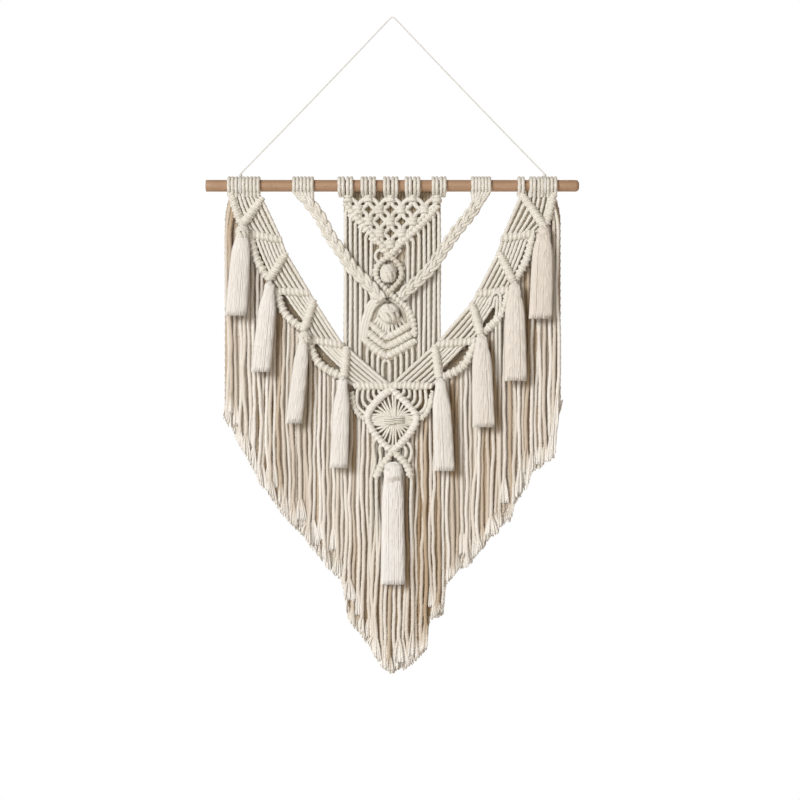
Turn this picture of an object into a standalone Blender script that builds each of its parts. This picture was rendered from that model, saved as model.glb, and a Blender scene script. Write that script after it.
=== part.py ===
"""A macrame wall hanging on a wooden dowel, hung from one nail by a thin cord.

Metres, +Z up; the front faces -Y. The origin is where the hanging cord rests on the nail.
Places on the hanging are in mm: x to the right of the middle, down from the dowel's axis.
Layers from front to back: tassels, braids, swags and diamond, centre panel with the front
fringe, back fringe.
"""
import math

import bmesh
import bpy
from mathutils import Vector

MM = 0.001
FRONT = Vector((0.0, -1.0, 0.0))

# Driving dimensions, mm
DOWEL_LENGTH = 400.0
DOWEL_DIAMETER = 12.5
DOWEL_DROP = 180.0
DOWEL_CHAMFER_LEFT = 0.4
DOWEL_CHAMFER_RIGHT = 1.6
DOWEL_SIDES = 24
CORD = 4.0
GAP = 0.3
HANGER_CORD = 1.4
HANGER_HALF_SPAN = 163.0
HANGER_LEG_POINTS = 10
HANGER_SAG = 0.8
HANGER_BEND = 3.2
# The hanger's tied ends: wall of the turn round the dowel, and the knot on it as height above
# the dowel's axis and half size
TIE_WALL = 1.1
TIE_KNOT = ((6.85, 0.9), (10.4, 1.0), (11.1, 1.4), (11.8, 0.8))
TIE_KNOT_SIDES = 6

# Depth of each layer's middle, mm behind the dowel's axis
PANEL_Y = 3.4
SWAG_Y = -2.2
BRAID_Y = -3.8
BERRY_Y = -0.5
TASSEL_Y = -9.7
CENTER_TASSEL_Y = -6.3
FRINGE_FRONT_Y = 3.4
FRINGE_BACK_Y = 7.2

# Knots and bars: half sizes across and in depth, mm
BAR_WIDTH = 3.3
BAR_DEPTH = 3.3
BAR_GROOVE = 0.74
BAR_SIDES = 4
HITCH_PITCH = 11.0
STRAND = 0.5 * CORD
HANGING_STRAND = 1.9
FRONT_LOOK = 0.5 * math.pi
LOOP_CREST = 3.6
LOOP_VALLEY = 2.5
LOOP_FOOT = 8.2
LOOP_FOOT_Y = 1.6
LOOP_FOOT_DEPTH = 1.4
RING_TURNS = 8

# Loops on the dowel: x of the left and right edge, number of cords
PANEL_LOOPS = ((-58.4, -42.4, 4), (-33.8, -18.2, 4), (-9.7, 5.9, 4), (13.4, 29.5, 4), (42.4, 57.4, 4))
BRAID_LOOPS = {"left": (-107.2, -84.2, 6), "right": (84.2, 105.6, 6)}
SWAG_LOOPS = {
    "left": ((-177.0, -164.3, 3), (-161.7, -141.8, 5)),
    "right": ((134.6, 141.6, 2), (146.9, 161.7, 4), (164.3, 176.4, 3)),
}

# Square-knot net: half size of a knot, first row and row pitch
KNOT_WIDTH = 6.3
KNOT_HEIGHT = 4.3
KNOT_DEPTH = 3.1
NET_TOP = 12.6
NET_PITCH = 12.4
NET_ROWS = 5
# Half distance between a knot's two cords above it and below it, and the cords' half size
NET_CORDS_ABOVE = 4.2
NET_CORDS_BELOW = 3.6
NET_CORD = (2.3, 1.8)
NET_CORD_INSET = 2.0

# V of hitches under the net: x, down
V_LEFT = ((-50.4, 19.5), (-28.4, 45.3), (-13.4, 61.3), (-2.7, 75.3))
V_RIGHT = ((48.8, 22.0), (28.4, 44.2), (10.2, 60.3), (-2.7, 75.3))

# Cords that hang from the V: x, down to
V_CORDS = (
    (-50.4, 203.0), (-45.2, 204.0), (-39.8, 205.0), (-34.5, 206.0), (-28.6, 150.0), (-22.7, 138.0),
    (49.9, 203.0), (44.5, 204.0), (39.1, 205.0), (34.0, 206.0), (28.6, 206.0), (22.3, 140.0),
    (16.6, 133.0),
)

# Middle column: berry knots as x, down, half width, half height
BERRIES = ((-3.0, 93.5, 8.7, 8.7), (-3.0, 136.1, 10.7, 9.7))
BERRY_STEPS = (-0.98, -0.72, 0.0, 0.72, 0.98)
BERRY_FLATNESS = 0.95
BERRY_SIDES = 8
# The crossing between the berries: x, down, half height, half width
CROSSING = (-3.8, 116.0, 5.0, 7.0)
COLUMN_CORE = ((-3.0, 76.0), (-3.4, 118.0), (-5.4, 160.0))
COLUMN_ARM = (3.0, 2.4)
COLUMN_ARMS = (
    ((-2.7, 76.0), (-13.0, 84.5), (-16.0, 94.0), (-13.0, 104.0), (-4.6, 115.0)),
    ((-2.7, 76.0), (8.0, 84.5), (11.0, 94.0), (8.0, 104.0), (-3.0, 115.0)),
    ((-4.6, 117.0), (-16.0, 124.5), (-25.0, 136.0), (-24.0, 148.0)),
    ((-3.0, 117.0), (10.0, 124.5), (20.0, 137.0), (18.5, 149.0)),
)

# Chevrons of hitches: left x, down; tip x, down; right x, down; half thickness
CHEVRONS = (
    (-23.6, 147.7, -6.3, 161.6, 18.3, 149.3, 4.3),
    (-27.3, 155.6, -6.3, 172.6, 22.1, 156.6, 4.3),
    (-30.9, 163.8, -6.3, 184.0, 24.1, 165.2, 5.2),
)
CHEVRON_CORDS_END = 207.5
# Cords below the chevrons: x, and the chevron where each starts
CHEVRON_CORDS = (
    (-27.0, 2), (-20.8, 2), (-14.4, 0), (-8.4, 2), (-2.6, 2), (3.2, 2), (9.4, 0), (15.4, 2), (21.2, 2),
)

# Middle line of each braid: x, down
BRAID_LINES = {
    "left": ((-96.2, 9.4), (-94.6, 13.5), (-88.4, 19.5), (-77.7, 33.5), (-67.0, 53.8), (-54.2, 72.1),
             (-42.4, 89.2), (-27.3, 104.2), (-15.5, 117.6)),
    "right": ((95.2, 9.4), (94.4, 13.5), (90.6, 20.0), (82.0, 32.4), (68.1, 49.5), (53.1, 71.0),
              (41.3, 88.2), (26.3, 103.2), (11.6, 114.9)),
}
BRAID_WIDTH = 6.2
BRAID_DEPTH = 2.8
BRAID_SWING = 1.3
BRAID_LOBE = 5.6
# Half width and depth where a braid leaves its loops and at its lower end
BRAID_START = (3.7, 1.8)
BRAID_END = (5.0, 2.2)
# Depth at which braids and swags leave their loops
LOOP_EXIT_Y = -1.2

# Swags: each row is one rung, its outer end and its inner end as x, down. Rung 0 is the loops
# on the dowel; after it slanted bars and level bars take turns.
SWAG_RUNGS = {
    "left": (
        (-172.5, 8.9, -145.5, 8.9),
        (-161.4, 43.1, -140.0, 14.2),
        (-152.8, 51.7, -119.6, 58.1),
        (-132.4, 101.0, -114.2, 73.1),
        (-124.9, 112.8, -89.1, 115.0),
        (-94.9, 154.6, -84.2, 123.5),
        (-91.3, 164.3, -53.6, 170.7),
        (-52.0, 205.7, -49.2, 173.9),
        (-40.4, 214.7, -1.8, 214.7),
    ),
    "right": (
        (172.5, 8.9, 149.0, 8.9),
        (163.1, 45.3, 138.4, 9.0),
        (150.7, 51.2, 117.4, 57.1),
        (129.9, 104.2, 113.8, 71.0),
        (124.9, 111.7, 90.6, 116.0),
        (94.5, 160.3, 85.3, 126.2),
        (89.5, 166.4, 47.7, 169.7),
        (49.9, 207.2, 45.1, 171.8),
        (41.3, 214.7, -0.6, 213.6),
    ),
}
SWAG_STRANDS = 5
SWAG_STRAND_DEPTH = 2.0
SWAG_RIDGE = 3.0
SWAG_SLIT = 0.9
SWAG_STRAND_LEAST = 1.7
SWAG_STRAND_MOST = 3.2
SWAG_BULGES = {0: 1.0, 2: 3.4, 4: 6.0, 6: 8.6}

# Diamond: x, down of its corners, and the bundle's wrap
DIAMOND_TOP = (-1.2, 223.0)
DIAMOND_LEFT = (-27.9, 249.0)
DIAMOND_RIGHT = (26.3, 249.0)
DIAMOND_FOOT = (0.5, 283.3)
DIAMOND_ARM_ENDS = ((-22.0, 304.8), (19.8, 304.8))
WRAP = (1.1, 251.4)
WRAP_SIZE = (10.2, 5.6, 4.6)
DIAMOND_BAR = 3.5
DIAMOND_ARM = 3.2
BUNDLE_CORDS = 5
BUNDLE_INSET = 2.4
SHOULDER_TOP = 218.9
SHOULDER_CORDS = 4
SHOULDER_STRAND = 1.8
SHOULDER_RIDGE = 2.9
SHOULDER_OUTER = {-1: -37.0, 1: 35.0}
SHOULDER_INNER = {-1: -16.0, 1: 14.0}
SHOULDER_RIDGES = (
    ((-43.6, 222.0), (-41.0, 236.0), (-35.0, 246.5), (-29.0, 250.0)),
    ((43.0, 221.0), (40.0, 236.0), (34.0, 246.5), (27.5, 250.0)),
)

# Tassels: top x, down; hem x, down; hem width
TASSELS = {
    "left_tassel_1": (-160.4, 49.0, -167.0, 139.6, 23.0),
    "left_tassel_2": (-131.0, 107.5, -140.7, 199.7, 20.8),
    "left_tassel_3": (-94.4, 161.5, -105.2, 254.4, 17.5),
    "left_tassel_4": (-53.0, 209.5, -57.4, 302.1, 19.3),
    "right_tassel_1": (161.8, 48.8, 158.2, 142.9, 25.0),
    "right_tassel_2": (130.4, 108.6, 131.7, 209.3, 24.0),
    "right_tassel_3": (94.9, 164.0, 97.4, 258.7, 24.0),
    "right_tassel_4": (51.3, 211.6, 55.6, 305.3, 22.0),
}
TASSEL_LOCKS = 6
CENTER_TASSEL = (0.5, 296.5, 0.5, 426.4, 27.5)
CENTER_TASSEL_LOCKS = 8
TASSEL_HEAD_SIDES = 6
# Stations of a tassel's head: mm below its top, half width as a share of the hem's, half depth
TASSEL_HEAD = ((0.0, 0.24, 2.4), (3.0, 0.42, 3.6), (8.5, 0.46, 3.9), (11.5, 0.36, 3.2))
# Skirt: where its locks part and where they reach full width, mm below the top; half depths there
TASSEL_ROOT = 15.0
TASSEL_KNEE = 30.0
TASSEL_ROOT_SHARE = 0.62
TASSEL_DEPTHS = (3.0, 3.7, 3.2)

# Fringe: the line its strips follow behind the swags' lower edge, and its hem, as x, down
HEADING_LINE = (
    (-180.5, 10.9), (-172.0, 11.5), (-162.0, 44.0), (-152.0, 56.0), (-136.0, 101.0), (-126.0, 114.0),
    (-104.0, 152.0), (-92.0, 166.0), (-62.0, 204.0), (-45.0, 218.0), (-40.0, 236.0), (-28.0, 250.0),
    (-14.0, 268.0), (0.0, 284.0),
    (14.0, 268.0), (27.0, 250.0), (39.0, 236.0), (44.0, 218.0), (58.0, 205.0), (90.0, 167.0),
    (101.0, 153.0), (126.0, 114.0), (135.0, 102.0), (151.0, 56.0), (163.0, 45.0), (172.0, 11.5),
    (180.5, 10.9),
)
FRINGE_HEM = (
    (-181.0, 250.0), (-164.0, 281.0), (-128.0, 339.0), (-95.0, 378.0), (-56.0, 424.0), (-48.0, 466.0),
    (-33.0, 483.0), (-19.0, 511.0), (-1.0, 525.5), (16.0, 520.0), (38.0, 500.0), (50.0, 468.0),
    (57.0, 438.0), (71.0, 417.0), (106.0, 380.0), (131.0, 345.0), (158.0, 306.0), (180.5, 238.0),
)
FRINGE_FRONT_PITCH = 6.0
FRINGE_BACK_PITCH = 12.0
FRINGE_BACK_LIFT = 9.0
FRINGE_SLOT = 0.9
FRINGE_SWAY = 1.8
FRINGE_UNEVEN = 2.5
FRINGE_HALF_DEPTH = 1.35
FRINGE_LOCK_DEPTHS = (1.2, 0.9)
HEADING_HEIGHT = 7.0
FRINGE_MIDDLE_GAP = 0.25


def at(x, down, y=0.0):
    """The point x to the right of the middle and down from the dowel's axis, all in mm."""
    return Vector((x, y, -DOWEL_DROP - down)) * MM


def mix(a, b, share):
    return a + (b - a) * share


def along_line(line, x):
    """The down value of a table of (x, down) rows at x."""
    for (x0, down0), (x1, down1) in zip(line, line[1:]):
        if x0 <= x <= x1:
            return mix(down0, down1, (x - x0) / (x1 - x0))
    return line[0][1] if x < line[0][0] else line[-1][1]


def resampled(points, count):
    """count points evenly spaced along the polyline through points."""
    lengths = [(b - a).length for a, b in zip(points, points[1:])]
    total = sum(lengths)
    places = []
    for i in range(count):
        left = total * i / (count - 1)
        leg = 0
        while leg < len(lengths) - 1 and left > lengths[leg]:
            left -= lengths[leg]
            leg += 1
        places.append(points[leg].lerp(points[leg + 1], min(left / lengths[leg], 1.0)))
    return places


def smoothed(points, count):
    """count points evenly spaced along a Catmull-Rom curve through points."""
    ends = [points[0] * 2 - points[1], *points, points[-1] * 2 - points[-2]]
    fine = [points[0]]
    steps = 12
    for p0, p1, p2, p3 in zip(ends, ends[1:], ends[2:], ends[3:]):
        for i in range(1, steps + 1):
            t = i / steps
            fine.append(0.5 * (2 * p1 + (p2 - p0) * t + (2 * p0 - 5 * p1 + 4 * p2 - p3) * t * t
                               + (3 * p1 - p0 - 3 * p2 + p3) * t ** 3))
    return resampled(fine, count)


def sweep(path, width, depth, sides=4, turn=0.0):
    """A closed strand along path; width and depth are half sizes in mm, one or one a point."""
    widths = width if isinstance(width, (list, tuple)) else [width] * len(path)
    depths = depth if isinstance(depth, (list, tuple)) else [depth] * len(path)
    bm = bmesh.new()
    rings = []
    for i, point in enumerate(path):
        along = (path[min(i + 1, len(path) - 1)] - path[max(i - 1, 0)]).normalized()
        across = along.cross(FRONT).normalized()
        lift = across.cross(along)
        ring = []
        for side in range(sides):
            angle = turn + 2 * math.pi * side / sides
            offset = across * math.cos(angle) * widths[i] + lift * math.sin(angle) * depths[i]
            ring.append(bm.verts.new(point + offset * MM))
        rings.append(ring)
    for a, b in zip(rings, rings[1:]):
        for side in range(sides):
            after = (side + 1) % sides
            bm.faces.new((a[side], a[after], b[after], b[side]))
    bm.faces.new(rings[0][::-1])
    bm.faces.new(rings[-1])
    return closed(bm)


def closed(bm):
    bmesh.ops.recalc_face_normals(bm, faces=bm.faces[:])
    mesh = bpy.data.meshes.new("shape")
    bm.to_mesh(mesh)
    bm.free()
    return mesh


def ridged(points, ridges, width=BAR_WIDTH, depth=BAR_DEPTH, sides=BAR_SIDES, groove=BAR_GROOVE,
           turn=FRONT_LOOK):
    """A bar of hitches: a strand that swells once for each ridge along the polyline."""
    count = 2 * ridges + 1
    swell = [1.0 if i % 2 else groove for i in range(count)]
    return sweep(resampled(points, count), [width * s for s in swell], [depth * s for s in swell],
                 sides, turn)


def bar(start, end, y, width=BAR_WIDTH):
    """A straight bar of double half hitches between two (x, down) places."""
    a, b = at(*start, y), at(*end, y)
    ridges = max(2, round((b - a).length / (HITCH_PITCH * MM)))
    return ridged([a, b], ridges, width)


def turned(profile):
    """A closed ring round the dowel from a loop of (x, radius) rows."""
    bm = bmesh.new()
    rows = []
    for x, radius in profile:
        row = []
        for i in range(RING_TURNS):
            angle = 2 * math.pi * (i + 0.5) / RING_TURNS
            row.append(bm.verts.new(at(x, radius * math.cos(angle), radius * math.sin(angle))))
        rows.append(row)
    for a, b in zip(rows, rows[1:] + rows[:1]):
        for i in range(RING_TURNS):
            after = (i + 1) % RING_TURNS
            bm.faces.new((a[i], a[after], b[after], b[i]))
    return closed(bm)


def hole_radius():
    """Corner radius of a ring's hole whose flats clear the dowel by the gap."""
    return (0.5 * DOWEL_DIAMETER + GAP) / math.cos(math.pi / RING_TURNS) + 0.02


def loops(left, right, cords):
    """A row of cords looped round the dowel: a band with one ridge for each cord."""
    inner = 0.5 * DOWEL_DIAMETER + GAP
    profile = [(left, hole_radius())]
    for i in range(cords):
        profile.append((mix(left, right, i / cords), inner + LOOP_VALLEY))
        profile.append((mix(left, right, (i + 0.5) / cords), inner + LOOP_CREST))
    profile += [(right, inner + LOOP_VALLEY), (right, hole_radius())]
    return turned(profile)


def add(name, mesh, material):
    piece = bpy.data.objects.new(name, mesh)
    bpy.context.scene.collection.objects.link(piece)
    mesh.materials.clear()
    mesh.materials.append(material)
    mesh.shade_smooth()
    mesh.set_sharp_from_angle(angle=math.radians(50))
    return piece


def fused(name, shapes, material):
    """One solid from closed shapes that overlap."""
    base = bpy.data.objects.new(name + "_base", shapes[0])
    bpy.context.scene.collection.objects.link(base)
    operands = bpy.data.collections.new(name + "_shapes")
    bpy.context.scene.collection.children.link(operands)
    for i, shape in enumerate(shapes[1:]):
        operands.objects.link(bpy.data.objects.new(f"{name}_shape_{i}", shape))
    union = base.modifiers.new("union", "BOOLEAN")
    union.operation = "UNION"
    union.solver = "EXACT"
    union.operand_type = "COLLECTION"
    union.collection = operands
    seen = base.evaluated_get(bpy.context.evaluated_depsgraph_get())
    solid = bpy.data.meshes.new_from_object(seen)
    for helper in [base, *operands.objects]:
        bpy.data.objects.remove(helper)
    bpy.data.collections.remove(operands)
    solid.name = name
    return add(name, solid, material)


def material_of(name, colour, roughness):
    material = bpy.data.materials.new(name)
    material.use_nodes = True
    shader = material.node_tree.nodes["Principled BSDF"]
    shader.inputs["Base Color"].default_value = (*colour, 1.0)
    shader.inputs["Roughness"].default_value = roughness
    shader.inputs["Metallic"].default_value = 0.0
    return material


def make_dowel(wood):
    half, radius = 0.5 * DOWEL_LENGTH, 0.5 * DOWEL_DIAMETER
    ends = ((-half, DOWEL_CHAMFER_LEFT), (half, -DOWEL_CHAMFER_RIGHT))
    path, radii = [], []
    for (x, chamfer), order in zip(ends, (1, -1)):
        stretch = [(at(x, 0), radius - abs(chamfer)), (at(x + chamfer, 0), radius)][::order]
        path += [place for place, _ in stretch]
        radii += [size for _, size in stretch]
    add("dowel", sweep(path, radii, radii, sides=DOWEL_SIDES), wood)


def make_hanger(cotton):
    """The thin cord over the nail, and its tied ends between the loops on the dowel."""
    tie_radius = 0.5 * DOWEL_DIAMETER + GAP + TIE_WALL
    for side, name in ((-1, "left"), (1, "right")):
        x, half = side * HANGER_HALF_SPAN, 0.5 * HANGER_CORD
        ring = turned([(x - half, hole_radius()), (x - half, tie_radius), (x + half, tie_radius),
                       (x + half, hole_radius())])
        sizes = [size for _, size in TIE_KNOT]
        knot = sweep([at(x, -height) for height, _ in TIE_KNOT], sizes, sizes, sides=TIE_KNOT_SIDES)
        fused("hanger_tie_" + name, [ring, knot], cotton)
    foot = -TIE_KNOT[-1][0] - GAP - 0.5 * HANGER_CORD
    centre = HANGER_BEND - 0.5 * HANGER_CORD - DOWEL_DROP
    lean = math.atan2(HANGER_HALF_SPAN, foot - centre)
    crown = [(-HANGER_BEND * math.cos(angle), centre - HANGER_BEND * math.sin(angle))
             for angle in (mix(lean, 0.5 * math.pi, share) for share in (0.0, 0.33, 0.67))]
    leg = []
    for share in (0.0, 0.25, 0.5, 0.75, 1.0):
        sag = HANGER_SAG * 4 * share * (1 - share)
        leg.append(at(mix(-HANGER_HALF_SPAN, crown[0][0], share), mix(foot, crown[0][1], share) + sag))
    half = smoothed(leg, HANGER_LEG_POINTS) + [at(x, down) for x, down in crown[1:]]
    points = half + [at(0.0, centre - HANGER_BEND)]
    points += [Vector((-point.x, point.y, point.z)) for point in reversed(half)]
    curve = bpy.data.curves.new("hanger_cord", "CURVE")
    curve.dimensions = "3D"
    curve.bevel_depth = 0.5 * HANGER_CORD * MM
    curve.bevel_resolution = 2
    curve.use_fill_caps = True
    spline = curve.splines.new("POLY")
    spline.points.add(len(points) - 1)
    for knot, point in zip(spline.points, points):
        knot.co = (*point, 1.0)
    curve.materials.append(cotton)
    cord = bpy.data.objects.new("hanger_cord", curve)
    bpy.context.scene.collection.objects.link(cord)


def square_knot(x, down):
    points = [at(x, down - KNOT_HEIGHT, PANEL_Y), at(x, down + KNOT_HEIGHT, PANEL_Y)]
    return ridged(points, 2, 1.3 * KNOT_WIDTH, 1.35 * KNOT_DEPTH, groove=0.8, turn=0.25 * math.pi)


def net_shapes():
    """Rows of square knots, each row one knot shorter, with cords crossing between them."""
    shapes = []
    row = [0.5 * (left + right) for left, right, _ in PANEL_LOOPS]
    for x in row:
        for step in (-NET_CORDS_ABOVE, NET_CORDS_ABOVE):
            foot = [at(x + step, LOOP_FOOT, LOOP_FOOT_Y), at(x + 0.8 * step, NET_TOP, PANEL_Y)]
            shapes.append(sweep(foot, STRAND, LOOP_FOOT_DEPTH))
    for number in range(NET_ROWS):
        down = NET_TOP + number * NET_PITCH
        shapes += [square_knot(x, down) for x in row]
        below = [0.5 * (a + b) for a, b in zip(row, row[1:])]
        for i, x in enumerate(below):
            for parent, lean in ((row[i], 1), (row[i + 1], -1)):
                start = at(parent + lean * NET_CORDS_BELOW, down + NET_CORD_INSET, PANEL_Y)
                end = at(x - lean * NET_CORDS_BELOW, down + NET_PITCH - NET_CORD_INSET, PANEL_Y)
                shapes.append(sweep([start, end], *NET_CORD))
        row = below
    return shapes


def column_shapes():
    """The V's tip, two berry knots with the cords round them, and the chevrons."""
    shapes = []
    for x, down, width, height in BERRIES:
        path = [at(x, down + height * step, BERRY_Y) for step in BERRY_STEPS]
        widths = [width * math.sqrt(1 - step * step) for step in BERRY_STEPS]
        depths = [BERRY_FLATNESS * reach for reach in widths]
        shapes.append(sweep(path, widths, depths, BERRY_SIDES))
    x, down, half_height, half_width = CROSSING
    crossing = [at(x, down - half_height, PANEL_Y), at(x, down + half_height, PANEL_Y)]
    shapes.append(ridged(crossing, 1, half_width, KNOT_DEPTH, sides=6))
    shapes.append(sweep([at(x, down, PANEL_Y) for x, down in COLUMN_CORE], STRAND, STRAND))
    for arm in COLUMN_ARMS:
        shapes.append(sweep(smoothed([at(x, down, PANEL_Y) for x, down in arm], 6), *COLUMN_ARM))
    for x0, down0, x1, down1, x2, down2, half in CHEVRONS:
        shapes += [bar((x0, down0), (x1 + 0.6, down1 + 0.5), PANEL_Y, half),
                   bar((x2, down2), (x1 - 0.6, down1 + 0.5), PANEL_Y, half)]
    for x, first in CHEVRON_CORDS:
        x0, down0, x1, down1, x2, down2, _ = CHEVRONS[first]
        start = along_line(((x0, down0), (x1, down1), (x2, down2)), x)
        hanging = [at(x, start, PANEL_Y), at(x + 0.4, CHEVRON_CORDS_END, PANEL_Y)]
        shapes.append(sweep(hanging, HANGING_STRAND, HANGING_STRAND))
    return shapes


def make_panel(cotton):
    shapes = [loops(*row) for row in PANEL_LOOPS] + net_shapes()
    for arm in (V_LEFT, V_RIGHT):
        shapes += [bar(a, b, PANEL_Y) for a, b in zip(arm, arm[1:])]
    for x, end in V_CORDS:
        start = along_line(V_LEFT, x) if x < V_LEFT[-1][0] else along_line(V_RIGHT[::-1], x)
        shapes.append(sweep([at(x, start, PANEL_Y), at(x, end, PANEL_Y)], HANGING_STRAND, HANGING_STRAND))
    fused("center_panel", shapes + column_shapes(), cotton)


def make_braid(side, cotton):
    """A flat plait, its lobes in turn to the left and the right, from its loops on the dowel."""
    line = [at(x, down, BRAID_Y) for x, down in BRAID_LINES[side]]
    line[0].y = LOOP_EXIT_Y * MM
    length = sum((b - a).length for a, b in zip(line, line[1:]))
    middle = smoothed(line, round(length / (BRAID_LOBE * MM)) + 1)
    path, last = [], len(middle) - 1
    for i, point in enumerate(middle):
        along = (middle[min(i + 1, last)] - middle[max(i - 1, 0)]).normalized()
        swing = BRAID_SWING * (-1) ** i if 0 < i < last else 0.0
        path.append(point + along.cross(FRONT) * swing * MM)
    widths = [BRAID_START[0]] + [BRAID_WIDTH] * (last - 1) + [BRAID_END[0]]
    depths = [BRAID_START[1]] + [BRAID_DEPTH] * (last - 1) + [BRAID_END[1]]
    fused(side + "_braid", [loops(*BRAID_LOOPS[side]), sweep(path, widths, depths, sides=6)], cotton)


def swag_ridge(a, b, bulge, side):
    """The hitched lower edge between two rungs' outer ends, bowed outwards by bulge."""
    outwards = Vector((-(b - a).z, 0.0, (b - a).x)).normalized()
    if outwards.x * side < 0:
        outwards.negate()
    middle = a.lerp(b, 0.5) + outwards * bulge * MM
    path = smoothed([a, middle, b], 9)
    ridges = max(3, round((b - a).length / (HITCH_PITCH * MM)))
    return ridged(path, ridges, SWAG_RIDGE, SWAG_RIDGE)


def make_swag(side, cotton):
    rungs = [(at(x0, d0, SWAG_Y), at(x1, d1, SWAG_Y)) for x0, d0, x1, d1 in SWAG_RUNGS[side]]
    for end in rungs[0]:
        end.y = LOOP_EXIT_Y * MM
    shapes = [loops(*row) for row in SWAG_LOOPS[side]]
    for row in SWAG_RUNGS[side][1:]:
        shapes.append(bar(row[:2], row[2:], SWAG_Y))
    for number, (upper, lower) in enumerate(zip(rungs, rungs[1:])):
        edged = number in SWAG_BULGES
        reach = 0.78 if edged else 0.88
        for i in range(SWAG_STRANDS):
            share = 0.04 + reach * i / (SWAG_STRANDS - 1)
            path = [upper[1].lerp(upper[0], share), lower[1].lerp(lower[0], share)]
            along = (path[1] - path[0]).normalized()
            widths = []
            for inner, outer in ((upper[1], upper[0]), (lower[1], lower[0])):
                pitch = (outer - inner).cross(along).length * reach / (SWAG_STRANDS - 1) / MM
                widths.append(min(max(0.5 * pitch - SWAG_SLIT, SWAG_STRAND_LEAST), SWAG_STRAND_MOST))
            shapes.append(sweep(path, widths, SWAG_STRAND_DEPTH))
        if edged:
            shapes.append(swag_ridge(upper[0], lower[0], SWAG_BULGES[number], -1 if side == "left" else 1))
    fused(side + "_swag", shapes, cotton)


def make_diamond(cotton):
    corners = (DIAMOND_TOP, DIAMOND_LEFT, DIAMOND_FOOT, DIAMOND_RIGHT)
    shapes = [bar(a, b, SWAG_Y, DIAMOND_BAR) for a, b in zip(corners, corners[1:] + corners[:1])]
    shapes += [bar(DIAMOND_FOOT, end, SWAG_Y, DIAMOND_ARM) for end in DIAMOND_ARM_ENDS]
    half_width, half_height, half_depth = WRAP_SIZE
    wrap = [at(WRAP[0], WRAP[1] - half_height, SWAG_Y), at(WRAP[0], WRAP[1] + half_height, SWAG_Y)]
    shapes.append(ridged(wrap, 2, half_width, half_depth, sides=8, groove=0.88))
    for tip in (DIAMOND_TOP, DIAMOND_FOOT):
        for i in range(BUNDLE_CORDS):
            share = 2 * i / (BUNDLE_CORDS - 1) - 1
            corner = DIAMOND_LEFT if share < 0 else DIAMOND_RIGHT
            reach = 0.8 * abs(share)
            end = (mix(tip[0], corner[0], reach), mix(tip[1], corner[1], reach))
            start = at(WRAP[0] + share * (half_width - BUNDLE_INSET), mix(WRAP[1], tip[1], 0.1), SWAG_Y)
            shapes.append(sweep([start, at(*end, SWAG_Y)], STRAND, HANGING_STRAND))
    for side, corner in ((-1, DIAMOND_LEFT), (1, DIAMOND_RIGHT)):
        for i in range(SHOULDER_CORDS):
            share = i / (SHOULDER_CORDS - 1)
            x = mix(SHOULDER_OUTER[side], SHOULDER_INNER[side], share)
            reach = mix(0.94, 0.3, share)
            end = (mix(DIAMOND_TOP[0], corner[0], reach), mix(DIAMOND_TOP[1], corner[1], reach))
            knee = (mix(x, end[0], 0.25), mix(SHOULDER_TOP, end[1], 0.6))
            shoulder = [at(x, SHOULDER_TOP, SWAG_Y), at(*knee, SWAG_Y), at(*end, SWAG_Y)]
            shapes.append(sweep(shoulder, SHOULDER_STRAND, SHOULDER_STRAND))
    for ridge in SHOULDER_RIDGES:
        path = smoothed([at(x, down, SWAG_Y) for x, down in ridge], 9)
        shapes.append(ridged(path, 4, SHOULDER_RIDGE, SHOULDER_RIDGE))
    fused("center_diamond", shapes, cotton)


def stitched(bm, upper, lower):
    """Triangles between two loops of points that start at the same side and run the same way."""
    i = j = 0
    while i < len(upper) or j < len(lower):
        a, b = upper[i % len(upper)], lower[j % len(lower)]
        if j == len(lower) or (i < len(upper) and (i + 1) * len(lower) <= (j + 1) * len(upper)):
            i += 1
            bm.faces.new((a, upper[i % len(upper)], b))
        else:
            j += 1
            bm.faces.new((a, lower[j % len(lower)], b))


def hang_locks(bm, root, rows):
    """Four-sided locks from a root of (front, back) points; each row gives a lock's next ring."""
    for i, ((front0, back0), (front1, back1)) in enumerate(zip(root, root[1:])):
        ring = [front0, back0, back1, front1]
        for row in rows:
            left, right, half_depth = row(i)
            corners = ((left, 1), (left, -1), (right, -1), (right, 1))
            below = [bm.verts.new(corner + FRONT * way * half_depth * MM) for corner, way in corners]
            for side in range(4):
                after = (side + 1) % 4
                bm.faces.new((ring[side], ring[after], below[after], below[side]))
            ring = below
        bm.faces.new(ring)


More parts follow.
